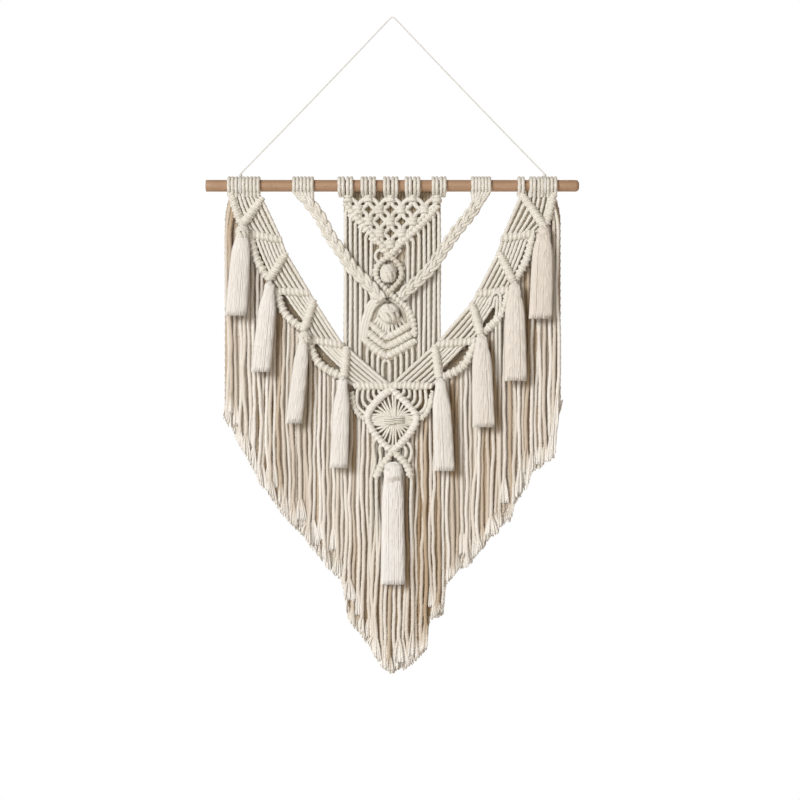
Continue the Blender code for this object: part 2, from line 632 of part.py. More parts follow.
def make_tassel(name, row, y, locks, cotton):
    """A wrapped head with a skirt of tapering locks that stand apart below it."""
    x, down, hem_x, hem_down, hem_width = row
    top, foot = at(x, down, y), at(hem_x, hem_down, y)
    along = (foot - top).normalized()
    across = FRONT.cross(along).normalized()
    bm = bmesh.new()
    rings = []
    for station, width, depth in TASSEL_HEAD:
        middle = top + along * station * MM
        ring = []
        for side in range(TASSEL_HEAD_SIDES):
            angle = 2 * math.pi * side / TASSEL_HEAD_SIDES
            offset = FRONT * math.sin(angle) * depth - across * math.cos(angle) * width * 0.5 * hem_width
            ring.append(bm.verts.new(middle + offset * MM))
        rings.append(ring)
    for a, b in zip(rings, rings[1:]):
        stitched(bm, a, b)
    bm.faces.new(rings[0])
    pitch = hem_width / locks
    root_depth, knee_depth, hem_depth = TASSEL_DEPTHS
    root = []
    for i in range(locks + 1):
        place = top + (along * TASSEL_ROOT + across * (i - 0.5 * locks) * TASSEL_ROOT_SHARE * pitch) * MM
        root.append([bm.verts.new(place + FRONT * way * root_depth * MM) for way in (1, -1)])
    stitched(bm, rings[-1], [front for front, _ in root] + [back for _, back in reversed(root)])

    def ring_of(middle, spread, half_width, half_depth):
        def row_at(i):
            place = middle + across * (i - 0.5 * (locks - 1)) * spread * pitch * MM
            reach = across * half_width * pitch * MM
            return place - reach, place + reach, half_depth
        return row_at

    knee = top + along * TASSEL_KNEE * MM
    hang_locks(bm, root, [ring_of(knee, 0.96, 0.44, knee_depth), ring_of(foot, 1.0, 0.41, hem_depth)])
    add(name, closed(bm), cotton)


def make_fringe(name, start, end, pitch, y, lift, cotton):
    """A strip along the heading line with one hanging lock to each pitch."""
    bm = bmesh.new()
    count = round((end - start) / pitch)
    step = (end - start) / count
    top, root = [], []
    for i in range(count + 1):
        x = start + i * step
        down = along_line(HEADING_LINE, x)
        for row, drop in ((top, 0.0), (root, HEADING_HEIGHT)):
            row.append([bm.verts.new(at(x, down + drop, y + depth))
                        for depth in (-FRINGE_HALF_DEPTH, FRINGE_HALF_DEPTH)])
    for (a, b), (c, d), (e, f), (g, h) in zip(top, top[1:], root, root[1:]):
        for face in ((a, b, d, c), (a, c, g, e), (b, f, h, d)):
            bm.faces.new(face)
    for (a, b), (c, d) in ((top[0], root[0]), (top[-1], root[-1])):
        bm.faces.new((a, b, d, c))

    def ring_of(share, slot, half_depth):
        def row_at(i):
            x = start + (i + 0.5) * step
            hem = along_line(FRINGE_HEM, x) - lift - FRINGE_UNEVEN * (1 + math.sin(7.3 * i + y))
            head = along_line(HEADING_LINE, x) + HEADING_HEIGHT
            x += share * FRINGE_SWAY * math.sin(x / 17.0 + 2.0 * share + y)
            down, half = mix(head, hem, share), 0.5 * (step - slot)
            return at(x - half, down, y), at(x + half, down, y), half_depth
        return row_at

    middle_depth, end_depth = FRINGE_LOCK_DEPTHS
    hang_locks(bm, root, [ring_of(0.5, FRINGE_SLOT, middle_depth), ring_of(1.0, 2 * FRINGE_SLOT, end_depth)])
    add(name, closed(bm), cotton)


def main():
    for thing in list(bpy.data.objects):
        bpy.data.objects.remove(thing)
    cotton = material_of("cotton_cord", (0.81, 0.74, 0.63), 0.85)
    wood = material_of("beech_wood", (0.45, 0.27, 0.17), 0.55)
    make_dowel(wood)
    make_hanger(cotton)
    make_panel(cotton)
    for side in ("left", "right"):
        make_braid(side, cotton)
        make_swag(side, cotton)
    make_diamond(cotton)
    for name, row in TASSELS.items():
        make_tassel(name, row, TASSEL_Y, TASSEL_LOCKS, cotton)
    make_tassel("center_tassel", CENTER_TASSEL, CENTER_TASSEL_Y, CENTER_TASSEL_LOCKS, cotton)
    reach = HEADING_LINE[-1][0]
    for layer, pitch, y, lift in (("front", FRINGE_FRONT_PITCH, FRINGE_FRONT_Y, 0.0),
                                  ("back", FRINGE_BACK_PITCH, FRINGE_BACK_Y, FRINGE_BACK_LIFT)):
        make_fringe(f"fringe_{layer}_left", -reach, -FRINGE_MIDDLE_GAP, pitch, y, lift, cotton)
        make_fringe(f"fringe_{layer}_right", FRINGE_MIDDLE_GAP, reach, pitch, y, lift, cotton)


main()
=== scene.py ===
"""A macrame wall hanging on a beech dowel: its cords, knots, tassels and fringe.

Laid out as a Blender add-on and run as a script. Places on the hanging are in mm, as x to the
right of the middle, down from the dowel's axis, and y behind that axis. Every cord is a path
that one Geometry Nodes tree sweeps into a twisted cord or sets with a row of hitches.
"""
import math
import random

import bmesh
import bpy
from mathutils import Matrix, Vector, noise


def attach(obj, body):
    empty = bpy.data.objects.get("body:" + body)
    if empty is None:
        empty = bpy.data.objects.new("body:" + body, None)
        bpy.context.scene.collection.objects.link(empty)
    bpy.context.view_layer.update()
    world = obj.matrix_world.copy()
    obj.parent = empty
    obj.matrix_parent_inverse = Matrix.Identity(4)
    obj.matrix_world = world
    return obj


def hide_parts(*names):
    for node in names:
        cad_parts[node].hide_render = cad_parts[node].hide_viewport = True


bl_info = {
    "name": "Macrame wall hanging",
    "version": (1, 0, 0),
    "blender": (4, 5, 0),
    "location": "View3D > Sidebar > Macrame",
    "description": "Cords, knots, tassels and fringe of a macrame wall hanging on its dowel",
    "category": "Add Mesh",
}

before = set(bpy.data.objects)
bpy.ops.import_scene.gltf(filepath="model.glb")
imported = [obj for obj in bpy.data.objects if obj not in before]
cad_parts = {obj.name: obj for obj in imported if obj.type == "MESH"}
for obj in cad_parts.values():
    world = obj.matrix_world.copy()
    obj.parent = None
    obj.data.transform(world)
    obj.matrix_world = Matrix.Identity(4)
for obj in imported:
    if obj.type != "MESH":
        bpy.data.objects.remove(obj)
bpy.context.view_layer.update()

MM = 0.001
BODY = "root"

# Driving sizes, mm
DOWEL_LENGTH = 400.0
DOWEL_RADIUS = 6.25
DOWEL_DROP = 180.0
CORD_RADIUS = 1.95
YARN_RADIUS = 1.15
LOOP_RADIUS = 8.35
HITCH_TURN = 2.35

# Depth of each layer's middle, mm behind the dowel's axis
PANEL_Y = 3.4
PANEL_BACK_Y = 7.6
SWAG_Y = -2.2
BRAID_Y = -3.8
BERRY_Y = -2.1
TASSEL_Y = -9.7
CENTER_TASSEL_Y = -6.3

# Distance of the points of a path, mm: round tight bends, and elsewhere
TIGHT = 1.2
STEP = 1.6

# Loops on the dowel: x of the left and right edge, number of cords
PANEL_LOOPS = ((-58.4, -42.4, 4), (-33.8, -18.2, 4), (-9.7, 5.9, 4), (13.4, 29.5, 4), (42.4, 57.4, 4))
BRAID_LOOPS = {"left": (-107.2, -84.2, 6), "right": (84.2, 105.6, 6)}
SWAG_LOOPS = {
    "left": ((-177.0, -165.2, 3), (-161.2, -141.7, 5)),
    "right": ((133.8, 141.6, 2), (146.9, 161.6, 4), (164.6, 176.4, 3)),
}

# Square-knot net: first row and row pitch
NET_TOP = 12.8
NET_PITCH = 12.6
NET_ROWS = 5
# The first row's outermost knots sit this far further in than their loops, left and right
NET_INSET = (2.6, 2.0)
# Smallest and largest size of a knot, and the radius of its bands
KNOT_SIZES = (1.06, 1.18)
KNOT_CORD = 2.15
# Where the outermost cords of a row enter the V: outwards and down from their knot
NET_EDGE = (9.0, 9.6)
# One knot's two bands, over its top and over its foot, as x, down, y from its middle
KNOT_BANDS = (
    ((-1.6, -3.3, 1.0), (-3.1, -2.5, -0.6), (-1.9, -1.7, -2.6), (0.2, -1.6, -3.2), (2.1, -2.0, -2.4),
     (2.9, -2.9, -0.6), (1.6, -3.5, 1.0)),
    ((1.6, 3.3, 1.0), (3.1, 2.5, -0.6), (1.9, 1.7, -2.6), (-0.2, 1.6, -3.2), (-2.1, 2.0, -2.4),
     (-2.9, 2.9, -0.6), (-1.6, 3.5, 1.0)),
)
# The two cords from a knot to the next one: place along the way, distance from their middle, y, radius
KNOT_LEGS = ((1.0, 2.6, 0.3, 2.6), (5.4, 3.0, -0.6, 2.75), (8.6, 3.75, -0.9, 2.15), (11.8, 3.0, -0.6, 2.75),
             (16.2, 2.6, 0.3, 2.6))

# V of hitches under the net: x, down
V_LEFT = ((-50.4, 19.5), (-28.4, 45.3), (-13.4, 61.3), (-2.7, 75.3))
V_RIGHT = ((48.8, 22.0), (28.4, 44.2), (10.2, 60.3), (-2.7, 75.3))

# Cords that hang from the V: x, down to
V_CORDS = (
    (-50.4, 212.0), (-45.2, 212.0), (-39.8, 212.0), (-34.5, 212.0), (-28.6, 170.0), (-22.7, 142.0),
    (49.9, 212.0), (44.5, 212.0), (39.1, 212.0), (34.0, 212.0), (28.6, 212.0), (22.3, 150.0),
    (16.6, 140.0),
)

# Middle column: berry knots as x, down, half width, half height
BERRIES = ((-4.7, 94.0, 9.0, 10.2), (-3.4, 137.0, 11.4, 10.8))
# The two arms of hitches that part round the upper berry and cross: x, down
COLUMN_UNDER = ((-3.6, 76.0), (-10.4, 79.5), (-16.4, 86.0), (-18.2, 94.0), (-16.0, 101.5), (-10.4, 107.8),
                (-5.4, 112.5), (-0.4, 117.5), (7.4, 123.4), (15.4, 130.4), (20.4, 139.6), (23.1, 151.0),
                (24.4, 161.0))
COLUMN_OVER = ((-3.0, 75.5), (3.0, 80.0), (8.8, 87.2), (9.6, 95.5), (6.4, 102.8), (-0.5, 110.4),
               (-7.4, 117.3), (-14.0, 122.0))
# The cords that the second one turns into, down the left of the lower berry
COLUMN_LEFT = ((-8.5, 119.0), (-15.8, 122.6), (-22.0, 128.6), (-25.8, 137.5), (-28.4, 147.0), (-30.4, 157.0),
               (-31.6, 166.0))
# Cords in the shade on both sides of the lower berry, a little browner as painted shade
COLUMN_SHADED = (
    ((-0.5, 119.0), (9.0, 124.5), (14.0, 133.0), (16.6, 142.0), (17.6, 150.0)),
    ((-4.0, 121.0), (5.0, 126.0), (10.4, 134.0), (12.6, 143.0), (13.0, 151.0)),
    ((-8.0, 122.0), (-15.6, 130.0), (-19.4, 139.0), (-21.6, 148.0)),
    ((-5.0, 123.0), (-12.2, 131.0), (-15.6, 140.0), (-17.2, 150.0)),
)

# Chevrons of hitches: left x, down; tip x, down; right x, down; size of a hitch
CHEVRONS = (
    (-23.6, 147.2, -6.3, 163.0, 18.8, 148.8, 1.001),
    (-27.3, 155.8, -6.3, 172.9, 21.6, 157.6, 1.0374),
    (-30.9, 164.4, -6.3, 182.8, 24.1, 166.2, 1.092),
)
# Cords that hang from the lowest chevron, and the two from its tip, as x and the way they come from
CHEVRON_CORDS = (-27.2, -21.4, -15.6, 3.4, 9.4, 15.6, 21.6)
TIP_CORDS = ((-10.4, 1.0), (-3.0, -1.0))
PANEL_END = 213.0
# The loop beside the V's foot, as x, down, y before the panel's own depth
FOOT_LOOP = ((-7.0, 66.5, 0.0), (-15.5, 69.5, -0.8), (-18.6, 75.5, -0.8), (-14.5, 82.0, -0.6),
             (-9.0, 84.0, 0.0))
# The curtain behind the panel: x of its first and last cord, number of cords
CURTAIN = (-50.3, 49.6, 27)

# Middle line of each braid: x, down
BRAID_LINES = {
    "left": ((-96.2, 9.4), (-94.6, 13.5), (-88.4, 19.5), (-77.7, 33.5), (-67.0, 53.8), (-54.2, 72.1),
             (-42.4, 89.2), (-27.3, 104.2), (-16.0, 117.0), (-12.0, 122.5)),
    "right": ((95.2, 9.4), (94.4, 13.5), (90.6, 20.0), (82.0, 32.4), (68.1, 49.5), (53.1, 71.0),
              (41.3, 88.2), (26.3, 103.2), (13.6, 114.4), (8.4, 119.6)),
}
BRAID_TOPS = {"left": (-90.2, 17.5), "right": (91.6, 17.5)}
BRAID_PERIOD = 35.4
BRAID_SWING = 3.5
BRAID_DEPTH = 1.25
# Cords of one strand: how far apart, and their radius
BRAID_STRAND = {"left": (1.5, 2.15), "right": (1.7, 1.8)}

# Swags: each row is one rung, its outer end and its inner end as x, down. Rung 0 is the loops
# on the dowel; after it slanted bars and level bars take turns.
SWAG_RUNGS = {
    "left": (
        (-172.5, 8.9, -143.8, 8.9),
        (-161.4, 43.1, -140.0, 14.2),
        (-152.8, 51.7, -119.6, 58.1),
        (-132.4, 101.0, -114.2, 73.1),
        (-124.9, 112.8, -89.1, 115.0),
        (-94.9, 154.6, -84.2, 123.5),
        (-91.3, 164.3, -53.6, 170.7),
        (-52.0, 205.7, -49.2, 173.9),
        (-40.4, 214.7, -1.8, 214.7),
    ),
    "right": (
        (172.5, 8.9, 135.6, 8.9),
        (163.1, 45.3, 138.4, 9.0),
        (150.7, 51.2, 117.4, 57.1),
        (129.9, 104.2, 113.8, 71.0),
        (124.9, 111.7, 90.6, 116.0),
        (94.5, 160.3, 85.3, 126.2),
        (89.5, 166.4, 47.7, 169.7),
        (49.9, 207.2, 45.1, 171.8),
        (41.3, 214.7, -0.6, 213.6),
    ),
}
# Layers of a cell's cords: shift in cords, depth behind the first layer, tone, number of cords; the layer
# behind is browner as painted shade between the front cords
SWAG_LAYERS = ((0.0, 0.0, 0.0, 7), (0.5, 3.3, 0.7, 6))
# Cells with a hitched ridge: its bulge, the share of the cell that its cords fill, size of a hitch
SWAG_RIDGES = {0: (1.0, 0.86, 1.14), 2: (3.4, 0.8, 1.18), 4: (6.2, 0.72, 1.2), 6: (8.8, 0.72, 1.2)}
# A ridge that bulges more than this leaves an open crescent, with brown cords in it as painted shade
CRESCENT_BULGE = 5.0
CRESCENT_Y = SWAG_Y + 7.4
# Lumpy knots under a slanted bar, over a tassel's head: x, down, half width
SWAG_LUMPS = ((-160.2, 50.5, 7.6), (-93.8, 163.0, 6.8))
# Picots that hang from the right swag and go in behind the fringe: x, down, y
PICOTS = (
    ((103.5, 128.0, -5.7), (106.4, 119.0, -5.7), (110.4, 114.6, -5.7), (114.6, 116.4, -5.7),
     (115.6, 124.0, -5.7), (115.0, 140.0, -4.0), (115.2, 180.0, 0.0), (115.4, 225.0, 6.5)),
    ((107.5, 131.0, -5.7), (109.2, 122.5, -5.7), (111.4, 119.4, -5.7), (112.2, 123.0, -5.7),
     (111.6, 131.0, -5.7), (111.0, 150.0, -3.0), (111.2, 180.0, 0.0), (111.4, 225.0, 6.5)),
)

# Diamond: x, down of its top and its foot
DIAMOND_TOP = (-1.2, 217.5)
DIAMOND_FOOT = (-0.8, 284.0)
# The ring between them: x, down of its left side and of its right side
DIAMOND_SIDES = {
    -1: ((-13.5, 227.5), (-24.0, 240.0), (-26.6, 250.0), (-20.5, 263.5), (-10.0, 275.5)),
    1: ((11.0, 229.0), (22.5, 241.5), (25.8, 250.5), (20.0, 263.0), (9.5, 275.5)),
}
# Its ring's tone, a whiter one; its arms, and the cords that loop beside them: x, down
RING_TONE = -0.18
DIAMOND_ARMS = (
    ((-0.8, 284.0), (-5.4, 292.6), (-10.8, 298.6), (-14.6, 305.0), (-18.0, 312.0)),
    ((-0.8, 284.0), (6.4, 290.0), (12.4, 296.0), (17.2, 304.0), (19.2, 312.0)),
)
DIAMOND_LOOPS = (
    ((-15.5, 269.0), (-20.4, 276.0), (-20.0, 286.0), (-18.8, 296.0), (-21.0, 306.0), (-23.0, 316.0),
     (-22.6, 345.0), (-23.6, 390.0), (-23.0, 432.0)),
    ((-10.5, 275.0), (-13.6, 281.0), (-12.8, 288.0), (-13.2, 296.0), (-16.4, 305.0), (-17.2, 317.0),
     (-17.0, 345.0), (-16.2, 390.0), (-17.0, 432.0)),
    ((12.0, 272.0), (18.8, 278.0), (20.6, 286.0), (18.4, 294.0), (15.0, 299.0)),
    ((8.0, 277.0), (13.6, 281.0), (14.6, 288.0), (10.5, 293.5)),
    ((18.6, 308.0), (20.4, 315.0), (19.6, 345.0), (20.6, 390.0), (20.0, 432.0)),
)
# Below this height these loops sink in between the fringe's layers, by this share of the way down
LOOP_SINK = (318.0, 0.068)
# The wrap's middle and half width, the bundle's layers as depth, cords, tone, reach, and the heights of
# the cords that run level to the ring's corners
WRAP = (1.6, 251.2)
WRAP_HALF = 10.4
# The back layer's tone is painted shade between the front cords
BUNDLE_LAYERS = ((0.0, 15, 0.0, 1.0), (2.8, 14, 1.4, 0.94))
CORNER_CORDS = (-4.2, -1.5, 1.4, 4.3)
SHOULDER_TOP = 218.9
SHOULDER_CORDS = 5
SHOULDER_OUTER = {-1: -37.0, 1: 35.0}
SHOULDER_INNER = {-1: -14.0, 1: 12.0}
SHOULDER_RIDGES = (
    ((-43.6, 222.0), (-41.0, 236.0), (-35.0, 246.5), (-29.0, 250.0)),
    ((43.0, 221.0), (40.0, 236.0), (34.0, 246.5), (27.5, 250.0)),
)

# Tassels: top x, down; hem x, down; hem width; tone
TASSELS = {
    "left_tassel_1": (-159.8, 44.0, -167.0, 139.6, 23.0, 0.14),
    "left_tassel_2": (-130.8, 103.5, -140.7, 199.7, 20.8, 0.12),
    "left_tassel_3": (-94.2, 157.5, -105.2, 254.4, 17.5, 0.12),
    "left_tassel_4": (-53.0, 205.0, -57.4, 302.1, 19.3, 0.1),
    "right_tassel_1": (161.2, 44.0, 158.2, 142.9, 25.0, 0.36),
    "right_tassel_2": (130.2, 104.5, 131.7, 209.3, 24.0, 0.3),
    "right_tassel_3": (94.8, 160.0, 97.4, 258.7, 24.0, 0.26),
    "right_tassel_4": (51.1, 207.0, 55.6, 305.3, 22.0, 0.16),
}
CENTER_TASSEL = (0.5, 296.5, 0.5, 426.4, 26.5, 0.0)
# The tassels with a painted shadow to their right: browner cords where they keep the light off
SHADING_TASSELS = [row for name, row in TASSELS.items() if name != "right_tassel_1"] + [CENTER_TASSEL]
# Outline of a tassel: share of its length, share of the hem's half width, half depth in mm
SKIRT = ((0.0, 0.16, 1.8), (0.012, 0.42, 3.8), (0.045, 0.6, 4.9), (0.08, 0.62, 4.9), (0.115, 0.52, 4.1),
         (0.15, 0.62, 4.4), (0.2, 0.76, 4.7), (0.3, 0.88, 4.9), (0.6, 0.96, 4.8), (1.0, 1.0, 4.5))
DOMED = ((0.0, 0.34, 2.4), (0.008, 0.54, 4.4), (0.025, 0.7, 5.6), (0.055, 0.78, 6.2), (0.09, 0.79, 6.3),
         (0.12, 0.72, 5.8), (0.133, 0.68, 5.5), (0.15, 0.76, 5.8), (0.2, 0.82, 6.0), (0.3, 0.89, 6.1),
         (1.0, 1.0, 6.0))
NECK_SHARE = 0.133
NECK_DEPTH = 6.0
# Layers of a skirt's yarns: share of its size, number of yarns
SKIRT_YARNS = ((1.0, 78), (0.78, 22))

# Fringe: where its cords start behind the swags, and its hem, as x, down
HEADING_LINE = (
    (-180.5, 10.9), (-172.0, 11.5), (-162.0, 44.0), (-152.0, 56.0), (-136.0, 101.0), (-126.0, 114.0),
    (-104.0, 152.0), (-92.0, 166.0), (-62.0, 204.0), (-45.0, 218.0), (-40.0, 236.0), (-28.0, 250.0),
    (-14.0, 268.0), (0.0, 284.0),
    (14.0, 268.0), (27.0, 250.0), (39.0, 236.0), (44.0, 218.0), (58.0, 205.0), (90.0, 167.0),
    (101.0, 153.0), (126.0, 114.0), (135.0, 102.0), (151.0, 56.0), (163.0, 45.0), (172.0, 11.5),
    (180.5, 10.9),
)
FRINGE_HEM = (
    (-181.0, 252.0), (-164.0, 282.0), (-142.0, 322.0), (-128.0, 341.0), (-109.0, 366.0), (-95.0, 378.0),
    (-82.0, 398.0), (-55.0, 426.0), (-48.0, 467.0), (-33.8, 483.0), (-19.0, 511.0), (-1.0, 525.5),
    (16.0, 520.0), (37.0, 500.0), (39.0, 470.0), (55.0, 461.0), (57.0, 430.0), (70.0, 416.0),
    (81.0, 413.0), (93.0, 396.0), (105.0, 379.0), (116.0, 371.0), (128.0, 359.0), (131.0, 342.0),
    (144.0, 327.0), (150.0, 309.0), (158.0, 304.0), (174.0, 293.0), (178.0, 242.0), (181.0, 236.0),
)
# Each layer: middle y, distance of its cords, their depths in turn, how freely they wander, length of
# a frayed end and its yarns, how strong its painted shadow is beside a tassel, and how strong its
# painted shade is below the middle tassel
FRONT = {"y": 3.0, "pitch": 4.8, "depths": (0.0, -1.5, 0.8), "wander": 1.0, "fray": (14.0, 24.0),
         "yarns": 14, "dark": 1.0, "low": 0.12}
BACK = {"y": 6.6, "pitch": 3.0, "depths": (0.0, -1.2), "wander": 0.3, "fray": (12.0, 17.0),
        "yarns": 8, "dark": 0.6, "low": 0.55}
# The back layer starts this far above the heading line, where the swags cover it
FRINGE_BACK_RISE = 26.0
PANEL_HALF_WIDTH = 53.0
FRINGE_HALF_WIDTH = 180.5
# The outermost cords stay between these, x
FRINGE_EDGES = (-178.2, 178.6)
# Reach of a cord's waves: with its neighbours, alone, and in short ripples
WAVES = (3.2, 3.4, 1.3)
# Cords further out than this come from the loops on the dowel, this far in at first, and reach their
# own x this far down
OUTERMOST, DRAWN_IN, DRAWN_LENGTH = 165.0, 6.5, 38.0
# The front's cords at the right edge: from this x on, this far forward
FORWARD_FROM, FORWARD = 168.0, 3.0
# Left of this x the painted shadow beside a tassel is half as strong
WEAK_SHADE = -80.0
# Painted shade in the fringe below the middle tassel, where it is brownest: starts at this height and
# is full so much lower, half width, soft edge
BELOW_TASSEL_SHADE = (330.0, 60.0, 62.0, 14.0)

# The thin hanging cord, mm: its thickness, half its span, how high its feet are over the dowel's axis,
# how far each half sags, and the radius of its bend over the nail
HANGER_CORD = 1.4
HANGER_HALF_SPAN = 163.0
HANGER_FOOT = 12.8
HANGER_SAG = 0.8
HANGER_BEND = 3.2
# Turns of each tie, as x from its middle and height over the first turns
TIE_TURNS = ((-1.25, 0.0), (0.0, 0.0), (1.25, 0.0), (-1.25, 1.3), (0.0, 1.3), (1.25, 1.3),
             (-0.65, 2.4), (0.65, 2.4))

# Camera and frame: one pixel of the 800 pixel picture is 1.0724 mm at the dowel
PICTURE = 0.8579
PICTURE_CENTRE = (0.00804, -0.4097)
LENS = 85.0
SENSOR = 36.0

# Lights: place from the hanging's middle and size, m, and colour
LIGHTS = {
    "key": ((-3.3, -4.6, 2.0), 2.2, "FFFFFF"),
    "front": ((0.6, -3.2, 0.2), 2.0, "FFFFFF"),
    "back": ((1.4, 3.6, 0.9), 2.4, "FFF8F0"),
}
FLOOR_RADIUS = 2.8
FLOOR_HEIGHT = -1.5

# Fibres: pale, warm and deep colour, unevenness, yarn lines round a cord, their depth. The fringe's
# cotton takes its colours from the settings.
FIBRES = {
    # Knotted cord, pulled tight: its warm and deep tones, greyer than the loose fringe's, mostly paint the
    # shade in its hollows and gaps
    "cotton_knotted": ("E3E0D7", "AFA086", "7F7260", 0.16, 7.0, 0.25),
    # Combed-out yarns: whiter and more even, with hardly a twist to see
    "cotton_brushed": ("E9E8E5", "CFC0A9", "B39A7A", 0.06, 3.0, 0.03),
    # Thin twisted polyester line: cool white, with few coarse strands
    "polyester_line": ("E3E2DE", "CFCDC8", "BDBAB4", 0.1, 5.0, 0.3),
}


def colour(hex_code):
    """Linear RGBA from an sRGB hex code."""
    channels = []
    for start in (0, 2, 4):
        value = int(hex_code[start:start + 2], 16) / 255
        channels.append(value / 12.92 if value <= 0.04045 else ((value + 0.055) / 1.055) ** 2.4)
    return (*channels, 1.0)


def node(tree, kind, inputs=None, **settings):
    """Adds a node; settings are its own values, and inputs are its sockets' values or links.

    A node among the inputs links its first output.
    """
    made = tree.nodes.new(kind)
    for name, value in settings.items():
        setattr(made, name, value)
    for name, value in (inputs or {}).items():
        if isinstance(value, bpy.types.Node):
            value = value.outputs[0]
        if isinstance(value, bpy.types.NodeSocket):
            tree.links.new(value, made.inputs[name])
        else:
            made.inputs[name].default_value = value
    return made


# ---------------------------------------------------------------- materials

def per_metre(size):
    """The scale of a pattern whose features are size mm long."""
    return 1.0 / (size * MM)


def new_material(name):
    """A material with only a Principled BSDF and its output."""
    material = bpy.data.materials.new(name)
    material.use_nodes = True
    tree = material.node_tree
    tree.nodes.clear()
    shader = node(tree, "ShaderNodeBsdfPrincipled")
    node(tree, "ShaderNodeOutputMaterial", {"Surface": shader.outputs["BSDF"]})
    return material, tree, shader


def cotton(name, pale, warm, deep, uneven=0.16, line_count=7.0, line_depth=0.25):
    """Twisted, unbleached cotton: matt and soft, with fine twisted yarns and an uneven tone.

    The tone attribute runs from 0, pale, through 1, warm, to 2, deep. Below 0 it is paler still,
    for frayed ends, whose loose fibres scatter more light and which are also painted lighter against
    their shade, and for the whitest cords.
    """
    material, tree, shader = new_material(name)
    tone = node(tree, "ShaderNodeAttribute", attribute_name="tone").outputs["Fac"]
    strand = node(tree, "ShaderNodeAttribute", attribute_name="strand").outputs["Fac"]
    rounding = node(tree, "ShaderNodeAttribute", attribute_name="round").outputs["Vector"]
    place = node(tree, "ShaderNodeTexCoord").outputs["Object"]
    # Blotches as unbleached cotton has
    blotch = node(tree, "ShaderNodeTexNoise", {"Vector": place, "Scale": per_metre(25.0), "Detail": 2.0})
    varied = node(tree, "ShaderNodeMath", {0: strand, 1: uneven, 2: tone}, operation="MULTIPLY_ADD")
    mottled = node(tree, "ShaderNodeMath", {0: blotch.outputs["Fac"], 1: 0.24, 2: varied},
                   operation="MULTIPLY_ADD")
    shifted = node(tree, "ShaderNodeMath", {0: mottled, 1: 0.12 + 0.3 * uneven},
                   operation="SUBTRACT")
    # Tones from -0.5 to 2 fill the ramp
    share = node(tree, "ShaderNodeMath", {0: shifted, 1: 0.4, 2: 0.2}, operation="MULTIPLY_ADD")
    base = node(tree, "ShaderNodeValToRGB", {"Fac": share})
    stops = base.color_ramp.elements
    stops[0].color, stops[1].color = [mix(channel, 1.0, 0.5) for channel in pale], deep
    for place_on_ramp, stop in ((0.2, pale), (0.6, warm)):
        stops.new(place_on_ramp).color = stop
    tree.links.new(base.outputs["Color"], shader.inputs["Base Color"])
    # Yarns lie round the cord and turn with its twist: seven of them are 1.75 mm apart
    parts = node(tree, "ShaderNodeSeparateXYZ", {"Vector": rounding})
    angle = node(tree, "ShaderNodeMath", {0: parts.outputs["Y"], 1: parts.outputs["X"]},
                 operation="ARCTAN2")
    lines = node(tree, "ShaderNodeMath", {0: angle, 1: line_count}, operation="MULTIPLY")
    yarn = node(tree, "ShaderNodeMath", {0: lines}, operation="COSINE")
    # Loose fibres: real ones are 0.3 mm apart, and here seven fill 5 mm, so that they show
    fibre = node(tree, "ShaderNodeTexNoise", {"Vector": place, "Scale": per_metre(5.0 / 7.0), "Detail": 2.0})
    # The lines are fainter on a frayed yarn, which is much thinner than a cord
    thick = node(tree, "ShaderNodeAttribute", attribute_name="thick").outputs["Fac"]
    relief = node(tree, "ShaderNodeMapRange", {"Value": thick, "From Min": 1.0 * MM,
                                               "From Max": CORD_RADIUS * MM, "To Max": line_depth})
    height = node(tree, "ShaderNodeMath", {0: yarn, 1: relief, 2: fibre}, operation="MULTIPLY_ADD")
    bump = node(tree, "ShaderNodeBump", {"Height": height, "Strength": 0.6,
                                         "Distance": 0.0005})
    tree.links.new(bump.outputs["Normal"], shader.inputs["Normal"])
    shader.inputs["Roughness"].default_value = 0.86
    shader.inputs["Sheen Weight"].default_value = 0.25
    shader.inputs["Sheen Roughness"].default_value = 0.5
    shader.inputs["Specular IOR Level"].default_value = 0.2
    return material


def beech():
    """Sanded, unvarnished beech: long pale grain along the dowel and short dark flecks."""
    material, tree, shader = new_material("beech_sanded")
    place = node(tree, "ShaderNodeTexCoord").outputs["Object"]
    # Grain lines 45 mm long and 2 mm wide, and flecks 3.8 mm long and 0.55 mm wide
    stretched = node(tree, "ShaderNodeMapping", {"Vector": place, "Scale": (1.0, 22.0, 22.0)})
    grain = node(tree, "ShaderNodeTexNoise", {"Vector": stretched, "Detail": 5.0,
                                              "Scale": per_metre(500.0 / 11.0), "Distortion": 0.4})
    flecks_place = node(tree, "ShaderNodeMapping", {"Vector": place, "Scale": (1.0, 7.0, 7.0)})
    flecks = node(tree, "ShaderNodeTexNoise", {"Vector": flecks_place, "Detail": 1.0,
                                               "Scale": per_metre(50.0 / 13.0)})
    fleck_edge = node(tree, "ShaderNodeMapRange", {"Value": flecks.outputs["Fac"], "From Min": 0.62,
                                                   "From Max": 0.74, "To Max": 0.5})
    base = node(tree, "ShaderNodeMix", {"Factor": grain.outputs["Fac"]}, data_type="RGBA")
    base.inputs["A"].default_value = colour("98775C")
    base.inputs["B"].default_value = colour("B8987B")
    flecked = node(tree, "ShaderNodeMix", {"Factor": fleck_edge,
                                           "A": base.outputs["Result"]}, data_type="RGBA")
    flecked.inputs["B"].default_value = colour("7E5C45")
    tree.links.new(flecked.outputs["Result"], shader.inputs["Base Color"])
    bump = node(tree, "ShaderNodeBump", {"Height": grain.outputs["Fac"], "Strength": 0.15,
                                         "Distance": 0.0002})
    tree.links.new(bump.outputs["Normal"], shader.inputs["Normal"])
    shader.inputs["Roughness"].default_value = 0.55
    return material


# ---------------------------------------------------------------- cords

def in_frame(point):
    """(x, down, y) in mm to the frame's metres."""
    return (point[0] * MM, point[2] * MM, -(DOWEL_DROP + point[1]) * MM)


def mix(a, b, share):
    return a + (b - a) * share


def clamp(value):
    """value, held between 0 and 1."""
    return min(1.0, max(0.0, value))


